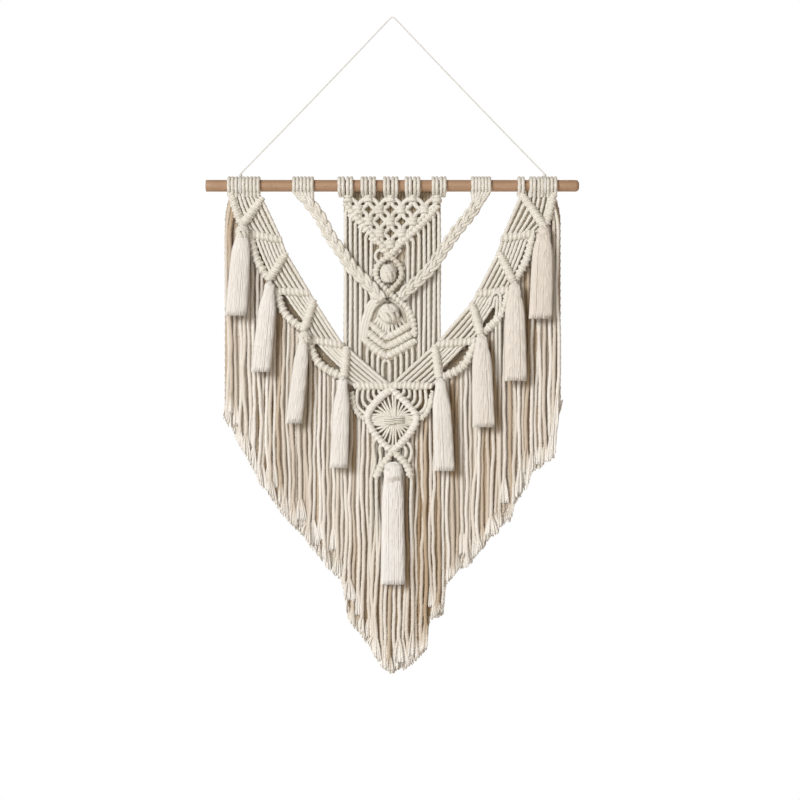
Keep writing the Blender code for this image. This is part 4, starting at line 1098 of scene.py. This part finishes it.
def lay_neck(cords, row, y):
    """Three turns of whipping round the middle tassel's neck, a little browner as painted shade in its
    groove.
    """
    x, down, hem_x, hem_down, hem_width, _ = row
    height = mix(down, hem_down, NECK_SHARE)
    half = 0.34 * hem_width + 0.4
    for turn in range(3):
        rows = []
        for step in range(25):
            angle = math.tau * step / 24
            rows.append((x + half * math.sin(angle), height - 1.6 + 1.5 * (turn + step / 24),
                         y - NECK_DEPTH * squarish(angle)))
        cords.lay(through(rows), 0.85, 0.25)


def lay_tuft(cords, root, along, width, rng, yarns, tone, cut):
    """A cord's frayed end: yarns that fan out from root to the cut, whose down value cut(x) gives."""
    lean = rng.uniform(-1.8, 1.8)
    for k in range(yarns):
        side = 2 * k / (yarns - 1) - 1
        deep = rng.uniform(-1.0, 1.0)
        x = root[0] + lean + side * width + rng.uniform(-0.5, 0.5)
        start = root - along * 2.5 + Vector((side, 0.0, deep))
        tip = Vector((x, cut(x) + rng.uniform(-2.2, 0.9), root[2] + deep * 2.0))
        bend = start.lerp(tip, 0.5) + Vector((side * width * 0.14, 0.0, 0.0))
        path = through([start, bend, tip], 6.0)
        own = rng.uniform(0.0, 0.1)
        # Loose yarns get thinner and paler towards the tip, partly as frayed cotton is and partly as painted
        # light against their shade
        tones = [value + own for value in tapered(path, tone, 0.4 * tone - 0.45)]
        cords.lay(path, tapered(path, 1.15, 0.85)[:-1] + [0.7], tones)


def shaded(point):
    """Strength of a tassel's painted shadow: 1 close to the right of a tassel, and less towards 7 mm from
    there, its top and its hem.
    """
    most = 0.0
    for x, down, hem_x, hem_down, hem_width, _ in SHADING_TASSELS:
        share = (point[1] - down) / (hem_down - down)
        # The tassel's right edge at this height
        edge = mix(x, hem_x, share) + 0.5 * hem_width * mix(0.75, 1.0, share)
        aside = 2.0 * (1.0 - abs(point[0] - edge - 2.0) / 6.5)
        most = max(most, min(1.0, aside, share / 0.2, (1.1 - share) / 0.15))
    return most


def shade_below_tassel(point):
    """Painted shade: 1 in the fringe's middle below the middle tassel, where it is brownest, and 0 away from
    there.
    """
    start, full, half, edge = BELOW_TASSEL_SHADE
    return clamp((point[1] - start) / full) * clamp((half - abs(point[0])) / edge)


def lay_hanging_cord(cords, x, number, layer, rng):
    """One cord from the heading line to the hem, its end frayed into a fan."""
    back = layer is BACK
    head = along_line(HEADING_LINE, x) + 1.5
    if back:
        head = PANEL_END - 4.0 if abs(x) < PANEL_HALF_WIDTH else max(8.0, head - FRINGE_BACK_RISE)
    # More than half of the front's cords end early, in a straight cut over the hem
    early = 0.0 if back else max(0.0, rng.uniform(-22.0, 28.0))
    hem = along_line(FRINGE_HEM, x) - early - (rng.uniform(1.0, 6.0) if back else 0.0)
    own = rng.uniform(0.0, 900.0)
    shorter = rng.uniform(0.0, 7.0)
    # dark: how strong this cord's painted shadow beside a tassel is
    dark = rng.uniform(0.3, 1.0) * layer["dark"] * (0.5 if x < WEAK_SHADE else 1.0)
    y = layer["y"]
    depth = y + layer["depths"][number % len(layer["depths"])]
    drawn_in = DRAWN_IN if abs(x) > OUTERMOST else 0.0
    forward = FORWARD if x > FORWARD_FROM and not back else 0.0

    def at(down):
        """The cord's place at a height; it wanders with its neighbours and a little alone."""
        shared = WAVES[0] * noise.noise(Vector((x * 0.03, down * 0.011, 3.0 + y)))
        alone = WAVES[1] * noise.noise(Vector((own, down * 0.01, 0.0)))
        ripple = WAVES[2] * layer["wander"] * noise.noise(Vector((own, down * 0.045, 9.0)))
        inwards = math.copysign(drawn_in * clamp(1.0 - (down - head) / DRAWN_LENGTH) ** 2, x)
        place = x - inwards + layer["wander"] * clamp((down - head) / 120.0) * (shared + alone) + ripple
        return Vector((max(FRINGE_EDGES[0], min(FRINGE_EDGES[1], place)), down,
                       depth - forward * clamp((down - head) / 20.0) + 0.8 * ripple))

    def cut(place):
        """How far down the frayed end is cut at an x."""
        edge = along_line(FRINGE_HEM, place) - shorter
        return min(hem + 2.0, edge) if early else edge

    stop = hem - rng.uniform(*layer["fray"])
    steps = max(4, round((stop - head) / 7.0))
    path = through([at(mix(head, stop, k / steps)) for k in range(steps + 1)], 2.8)
    # Painted shade behind: brown patches in the back layer, which show in the gaps; and a few warm cords in
    # front, whose tone differs at random
    shade_patch = 0.5 + noise.noise(Vector((0.035 * x, 7.0, y)))
    shade = 0.35 + 0.95 * shade_patch ** 2 if back else 0.75 * rng.uniform(0.0, 1.0) ** 2.6
    # Beside the left loops the cords are packed: thicker over their first 120 mm, and browner there as
    # painted shade
    packed = x < -OUTERMOST and not back
    close = [clamp(1.0 - (point[1] - head) / 120.0) if packed else 0.0 for point in path]
    # Painted shade below the middle tassel, strongest in the back layer
    low = [layer["low"] * shade_below_tassel(point) for point in path]
    thick = (1.16 if back else rng.uniform(0.98, 1.1)) * CORD_RADIUS
    sizes = [thick * growth * (1.0 + 0.25 * share) for growth, share in zip(tapered(path, 1.0, 1.1), close)]
    # Its tone, with painted shade where the cords are packed and below the middle tassel, and the painted
    # shadow beside a tassel
    cords.lay(path, sizes, [shade + 0.5 * share + more + dark * shaded(point)
                            for share, more, point in zip(close, low, path)])
    along = (path[-1] - path[-3]).normalized()
    width = 2.6 + 4.2 * rng.uniform(0.0, 1.0) ** 2
    lay_tuft(cords, path[-1], along, width, rng, layer["yarns"], shade + low[-1], cut)


def lay_fringe(cords, left, right, layer, rng):
    """The cords of one layer between two x."""
    count = round((right - left) / layer["pitch"])
    for i in range(count):
        x = mix(left, right, (i + 0.5) / count) + rng.uniform(-0.7, 0.7) * layer["wander"]
        lay_hanging_cord(cords, x, i, layer, rng)


# ---------------------------------------------------------------- pieces

def make_dowel():
    """A turned mesh: the left end sawn nearly square, the right end rounded over."""
    half = 0.5 * DOWEL_LENGTH
    sawn, rounded, drawn_in = 0.6, 4.0, 3.4
    profile = [(-half, 0.0), (-half, DOWEL_RADIUS - 0.7), (-half + 0.2, DOWEL_RADIUS - 0.25),
               (-half + sawn, DOWEL_RADIUS)]
    stations = 40
    profile += [(mix(-half + sawn, half - rounded, i / stations), DOWEL_RADIUS)
                for i in range(1, stations + 1)]
    for i in range(1, 7):
        angle = 0.5 * math.pi * i / 6
        profile.append((half - rounded * (1 - math.sin(angle)),
                        DOWEL_RADIUS - drawn_in * (1 - math.cos(angle))))
    profile.append((half, 0.0))
    sides = 48
    bm = bmesh.new()
    rings = []
    for x, radius in profile:
        # A point on the axis closes an end
        angles = [math.tau * k / sides for k in range(sides if radius else 1)]
        rings.append([bm.verts.new(in_frame((x, radius * math.cos(angle), radius * math.sin(angle))))
                      for angle in angles])
    for a, b in zip(rings, rings[1:]):
        for k in range(sides):
            after = (k + 1) % sides
            corners = [a[k % len(a)], a[after % len(a)], b[after % len(b)], b[k % len(b)]]
            bm.faces.new(dict.fromkeys(corners))
    bmesh.ops.recalc_face_normals(bm, faces=bm.faces[:])
    mesh = bpy.data.meshes.new("dowel_round")
    bm.to_mesh(mesh)
    bm.free()
    mesh.shade_smooth()
    mesh.set_sharp_from_angle(angle=math.radians(40))
    mesh.materials.append(beech())
    show("dowel_round", mesh, ["dowel"])


def hanger_route():
    """The thin cord's own points, mm: up from the left tie, over the nail and down again."""
    foot = -HANGER_FOOT
    centre = HANGER_BEND - 0.5 * HANGER_CORD - DOWEL_DROP
    lean = math.atan2(HANGER_HALF_SPAN, foot - centre)
    crown = [(-HANGER_BEND * math.cos(angle), centre - HANGER_BEND * math.sin(angle), 0.0)
             for angle in (mix(lean, 0.5 * math.pi, share) for share in (0.0, 0.33, 0.67))]
    rows = []
    for share in (0.0, 0.25, 0.5, 0.75, 1.0):
        sag = HANGER_SAG * 4 * share * (1 - share)
        rows.append((mix(-HANGER_HALF_SPAN, crown[0][0], share), mix(foot, crown[0][1], share) + sag, 0.0))
    half = through(rows, 6.0) + [Vector(row) for row in crown[1:]]
    whole = half + [Vector((0.0, centre - HANGER_BEND, 0.0))]
    return whole + [Vector((-point[0], *point[1:])) for point in reversed(half)]


def lay_tie(cords, x, radius):
    """Eight turns round the dowel, two round the thin cord's foot, and that foot."""
    for shift, raised in TIE_TURNS:
        reach = DOWEL_RADIUS + 0.2 + radius + raised
        rows = [(x + shift, reach * math.cos(math.tau * k / 18), reach * math.sin(math.tau * k / 18))
                for k in range(19)]
        cords.lay(through(rows, 1.5), radius)
    height = DOWEL_RADIUS + 3.4
    for turn in range(2):
        rows = [(x + 1.3 * math.cos(math.tau * k / 8), -height - 1.25 * turn - 1.2 * k / 8,
                 1.3 * math.sin(math.tau * k / 8)) for k in range(9)]
        cords.lay(through(rows, 0.8), radius)
    cords.lay(through([(x, -height + 1.5, 0.0), (x, -HANGER_FOOT + 0.2, 0.0)], 1.0), radius)


def make_hanger(material):
    """The thin twisted hanging cord, and the tie at each of its ends."""
    radius = 0.5 * HANGER_CORD
    for side, name in ((-1, "left"), (1, "right")):
        cords = Cords()
        lay_tie(cords, side * HANGER_HALF_SPAN, radius)
        tied("hanger_knot_" + name, cords, material, "hanger_cord", ["hanger_tie_" + name],
                         Step=0.7 * MM, Sides=8)
    route = hanger_route()
    cords = Cords()
    cords.lay(route, radius)
    line = tied("hanger_line", cords, material, "hanger_cord", ["hanger_cord"], Step=1.2 * MM, Sides=9,
                **{"Strand Relief": 0.1, "Twist Length": 8.0 * MM})


def make_knotted(context, name, cords, replaced):
    """A piece of knotted cord, twisted as the settings say."""
    tied(name, cords, cotton_for(context, "cotton_knotted"), "cotton_cord", [replaced],
         **{"Twist Length": context.scene.macrame_cords.twist})


def make_fringes(material):
    """The front and back layer of fringe, each in a left and a right half."""
    rng = random.Random(41)
    halves = (("left", -FRINGE_HALF_WIDTH, 0.0), ("right", 0.0, FRINGE_HALF_WIDTH))
    for side, left, right in halves:
        for name, layer, step, sides in (("front", FRONT, 3.0, 7), ("back", BACK, 4.0, 6)):
            cords = Cords()
            lay_fringe(cords, left, right, layer, rng)
            tied(f"fringe_{name}_cords_{side}", cords, material, "cotton_fringe", [f"fringe_{name}_{side}"],
                 Step=step * MM, Sides=sides)


# ---------------------------------------------------------------- stage

def make_stage(settings):
    """A pale round floor far below, soft light from the upper left, and the camera."""
    bm = bmesh.new()
    bmesh.ops.create_circle(bm, cap_ends=True, segments=96, radius=FLOOR_RADIUS)
    mesh = bpy.data.meshes.new("studio_floor")
    bm.to_mesh(mesh)
    bm.free()
    mesh.transform(Matrix.Translation((0.0, 0.0, FLOOR_HEIGHT)))
    material, tree, shader = new_material("studio_paint")
    # Faint mottling, a thirtieth of the floor's width across: 190 mm
    speckle = node(tree, "ShaderNodeTexNoise", {"Scale": 30.0})
    tint = node(tree, "ShaderNodeMix", {"Factor": speckle.outputs["Fac"]}, data_type="RGBA")
    tint.inputs["A"].default_value = colour("F2F0EC")
    tint.inputs["B"].default_value = colour("F6F5F2")
    tree.links.new(tint.outputs["Result"], shader.inputs["Base Color"])
    shader.inputs["Roughness"].default_value = 0.8
    mesh.materials.append(material)
    floor = bpy.data.objects.new("studio_floor", mesh)
    bpy.context.scene.collection.objects.link(floor)

    scene = bpy.context.scene
    scene.view_settings.view_transform = "Standard"
    world = bpy.data.worlds.new("studio")
    scene.world = world
    world.use_nodes = True
    tree = world.node_tree
    tree.nodes.clear()
    rays = node(tree, "ShaderNodeLightPath")
    fill = node(tree, "ShaderNodeBackground", {"Color": colour("FFE2C4"), "Strength": settings.fill})
    white = node(tree, "ShaderNodeBackground", {"Color": (1.0, 1.0, 1.0, 1.0), "Strength": 1.0})
    shown = node(tree, "ShaderNodeMixShader", {0: rays.outputs["Is Camera Ray"], 1: fill,
                                               2: white})
    node(tree, "ShaderNodeOutputWorld", {"Surface": shown})

    middle = Vector((0.0, 0.0, PICTURE_CENTRE[1]))
    for name, (place, size, tint) in LIGHTS.items():
        light = bpy.data.lights.new(name, "AREA")
        light.size = size
        light.energy = getattr(settings, name)
        light.color = colour(tint)[:3]
        lamp = bpy.data.objects.new(name, light)
        lamp.location = middle + Vector(place)
        lamp.rotation_euler = (-Vector(place)).to_track_quat("-Z", "Y").to_euler()
        scene.collection.objects.link(lamp)

    camera = bpy.data.cameras.new("camera")
    camera.lens = LENS
    camera.sensor_width = SENSOR
    eye = bpy.data.objects.new("camera", camera)
    eye.location = (PICTURE_CENTRE[0], -PICTURE * LENS / SENSOR, PICTURE_CENTRE[1])
    eye.rotation_euler = (0.5 * math.pi, 0.0, 0.0)
    scene.collection.objects.link(eye)
    scene.camera = eye


# ---------------------------------------------------------------- add-on

class CordSettings(bpy.types.PropertyGroup):
    """Colours of the fringe's cotton, and the twist of knotted cord"""

    pale: bpy.props.FloatVectorProperty(
        name="Pale cotton", description="Colour of the fringe's palest cords",
        default=colour("EBE7DF")[:3], subtype="COLOR", min=0.0, max=1.0)
    # Besides the warmer cords' own tone, the warm and deep colours paint the fringe's shade: its back layer's
    # gaps and the shadows beside the tassels
    warm: bpy.props.FloatVectorProperty(
        name="Warm cotton", description="Colour of the fringe's warmer cords",
        default=colour("B6A083")[:3], subtype="COLOR", min=0.0, max=1.0)
    deep: bpy.props.FloatVectorProperty(
        name="Deep cotton", description="Colour of the fringe's brownest cords",
        default=colour("9A7F5C")[:3], subtype="COLOR", min=0.0, max=1.0)
    twist: bpy.props.FloatProperty(
        name="Twist length", description="Length of one full turn of a cord's strands",
        default=24.0 * MM, min=6.0 * MM, max=100.0 * MM, unit="LENGTH")


class StageSettings(bpy.types.PropertyGroup):
    """Light on the hanging"""

    key: bpy.props.FloatProperty(
        name="Key light", description="Power of the soft light at the upper left", default=292.0,
        min=0.0, unit="POWER")
    front: bpy.props.FloatProperty(
        name="Front light", description="Power of the wide light at the front", default=15.0,
        min=0.0, unit="POWER")
    back: bpy.props.FloatProperty(
        name="Back light", description="Power of the wide light behind", default=150.0,
        min=0.0, unit="POWER")
    fill: bpy.props.FloatProperty(
        name="Fill", description="Strength of the light from all round", default=0.22, min=0.0)


def cotton_for(context, name):
    """The cotton of that name, made once; the fringe's takes its colours from the settings."""
    made = bpy.data.materials.get(name)
    if made:
        return made
    if name in FIBRES:
        *tones, uneven, line_count, line_depth = FIBRES[name]
        return cotton(name, *(colour(tone) for tone in tones), uneven, line_count, line_depth)
    settings = context.scene.macrame_cords
    return cotton(name, (*settings.pale, 1.0), (*settings.warm, 1.0), (*settings.deep, 1.0))


class MACRAME_OT_stage(bpy.types.Operator):
    """Set up the floor, the light and the camera"""

    bl_idname = "macrame.stage"
    bl_label = "Stage"

    def execute(self, context):
        make_stage(context.scene.macrame_stage)
        return {"FINISHED"}


class MACRAME_OT_dowel(bpy.types.Operator):
    """Turn the beech dowel"""

    bl_idname = "macrame.dowel"
    bl_label = "Dowel"

    def execute(self, context):
        make_dowel()
        return {"FINISHED"}


class MACRAME_OT_hanger(bpy.types.Operator):
    """Lay the hanging cord and tie it to the dowel"""

    bl_idname = "macrame.hanger"
    bl_label = "Hanging cord"

    def execute(self, context):
        make_hanger(cotton_for(context, "polyester_line"))
        return {"FINISHED"}


class MACRAME_OT_panel(bpy.types.Operator):
    """Knot the net, the V and the middle column"""

    bl_idname = "macrame.panel"
    bl_label = "Centre panel"

    def execute(self, context):
        cords = Cords()
        lay_panel(cords, random.Random(11))
        make_knotted(context, "panel_knots", cords, "center_panel")
        return {"FINISHED"}


class MACRAME_OT_braids(bpy.types.Operator):
    """Plait the two braids"""

    bl_idname = "macrame.braids"
    bl_label = "Braids"

    def execute(self, context):
        for side in ("left", "right"):
            cords = Cords()
            lay_braid(cords, side)
            make_knotted(context, side + "_plait", cords, side + "_braid")
        return {"FINISHED"}


class MACRAME_OT_swags(bpy.types.Operator):
    """Knot the two swags"""

    bl_idname = "macrame.swags"
    bl_label = "Swags"

    def execute(self, context):
        rng = random.Random(23)
        for side in ("left", "right"):
            cords = Cords()
            lay_swag(cords, side, rng)
            make_knotted(context, side + "_swag_knots", cords, side + "_swag")
        return {"FINISHED"}


class MACRAME_OT_diamond(bpy.types.Operator):
    """Knot the diamond, its shoulders and arms"""

    bl_idname = "macrame.diamond"
    bl_label = "Diamond"

    def execute(self, context):
        cords = Cords()
        lay_diamond(cords, random.Random(31))
        make_knotted(context, "diamond_knots", cords, "center_diamond")
        return {"FINISHED"}


class MACRAME_OT_tassels(bpy.types.Operator):
    """Hang the tassels"""

    bl_idname = "macrame.tassels"
    bl_label = "Tassels"

    def execute(self, context):
        rng = random.Random(53)
        rows = {name: (row, TASSEL_Y, SKIRT) for name, row in TASSELS.items()}
        rows["center_tassel"] = (CENTER_TASSEL, CENTER_TASSEL_Y, DOMED)
        for name, (row, y, outline) in rows.items():
            cords = Cords()
            lay_tassel(cords, row, y, rng, outline)
            if outline is DOMED:
                lay_neck(cords, row, y)
            tied(name + "_yarns", cords, cotton_for(context, "cotton_brushed"), "cotton_tassel", [name],
                 Step=6.0 * MM, Sides=5)
        return {"FINISHED"}


class MACRAME_OT_fringe(bpy.types.Operator):
    """Hang the two layers of fringe"""

    bl_idname = "macrame.fringe"
    bl_label = "Fringe"

    def execute(self, context):
        make_fringes(cotton_for(context, "cotton_twisted"))
        return {"FINISHED"}


PIECES = (MACRAME_OT_dowel, MACRAME_OT_hanger, MACRAME_OT_panel, MACRAME_OT_braids, MACRAME_OT_swags,
          MACRAME_OT_diamond, MACRAME_OT_tassels, MACRAME_OT_fringe, MACRAME_OT_stage)


class MACRAME_PT_sidebar(bpy.types.Panel):
    """Buttons for each part of the hanging"""

    bl_idname = "MACRAME_PT_sidebar"
    bl_label = "Macrame hanging"
    bl_space_type = "VIEW_3D"
    bl_region_type = "UI"
    bl_category = "Macrame"

    def draw(self, context):
        cords, stage = context.scene.macrame_cords, context.scene.macrame_stage
        for name in ("pale", "warm", "deep", "twist"):
            self.layout.prop(cords, name)
        for name in ("key", "front", "back", "fill"):
            self.layout.prop(stage, name)
        for piece in PIECES:
            self.layout.operator(piece.bl_idname)


CLASSES = (CordSettings, StageSettings, *PIECES, MACRAME_PT_sidebar)


def register():
    for made in CLASSES:
        bpy.utils.register_class(made)
    bpy.types.Scene.macrame_cords = bpy.props.PointerProperty(type=CordSettings)
    bpy.types.Scene.macrame_stage = bpy.props.PointerProperty(type=StageSettings)


def unregister():
    del bpy.types.Scene.macrame_stage
    del bpy.types.Scene.macrame_cords
    for made in reversed(CLASSES):
        bpy.utils.unregister_class(made)


def main():
    register()
    bpy.ops.macrame.stage()
    bpy.ops.macrame.hanger()
    bpy.ops.macrame.dowel()
    bpy.ops.macrame.panel()
    bpy.ops.macrame.braids()
    bpy.ops.macrame.swags()
    bpy.ops.macrame.diamond()
    bpy.ops.macrame.tassels()
    bpy.ops.macrame.fringe()


if __name__ == "__main__":
    main()
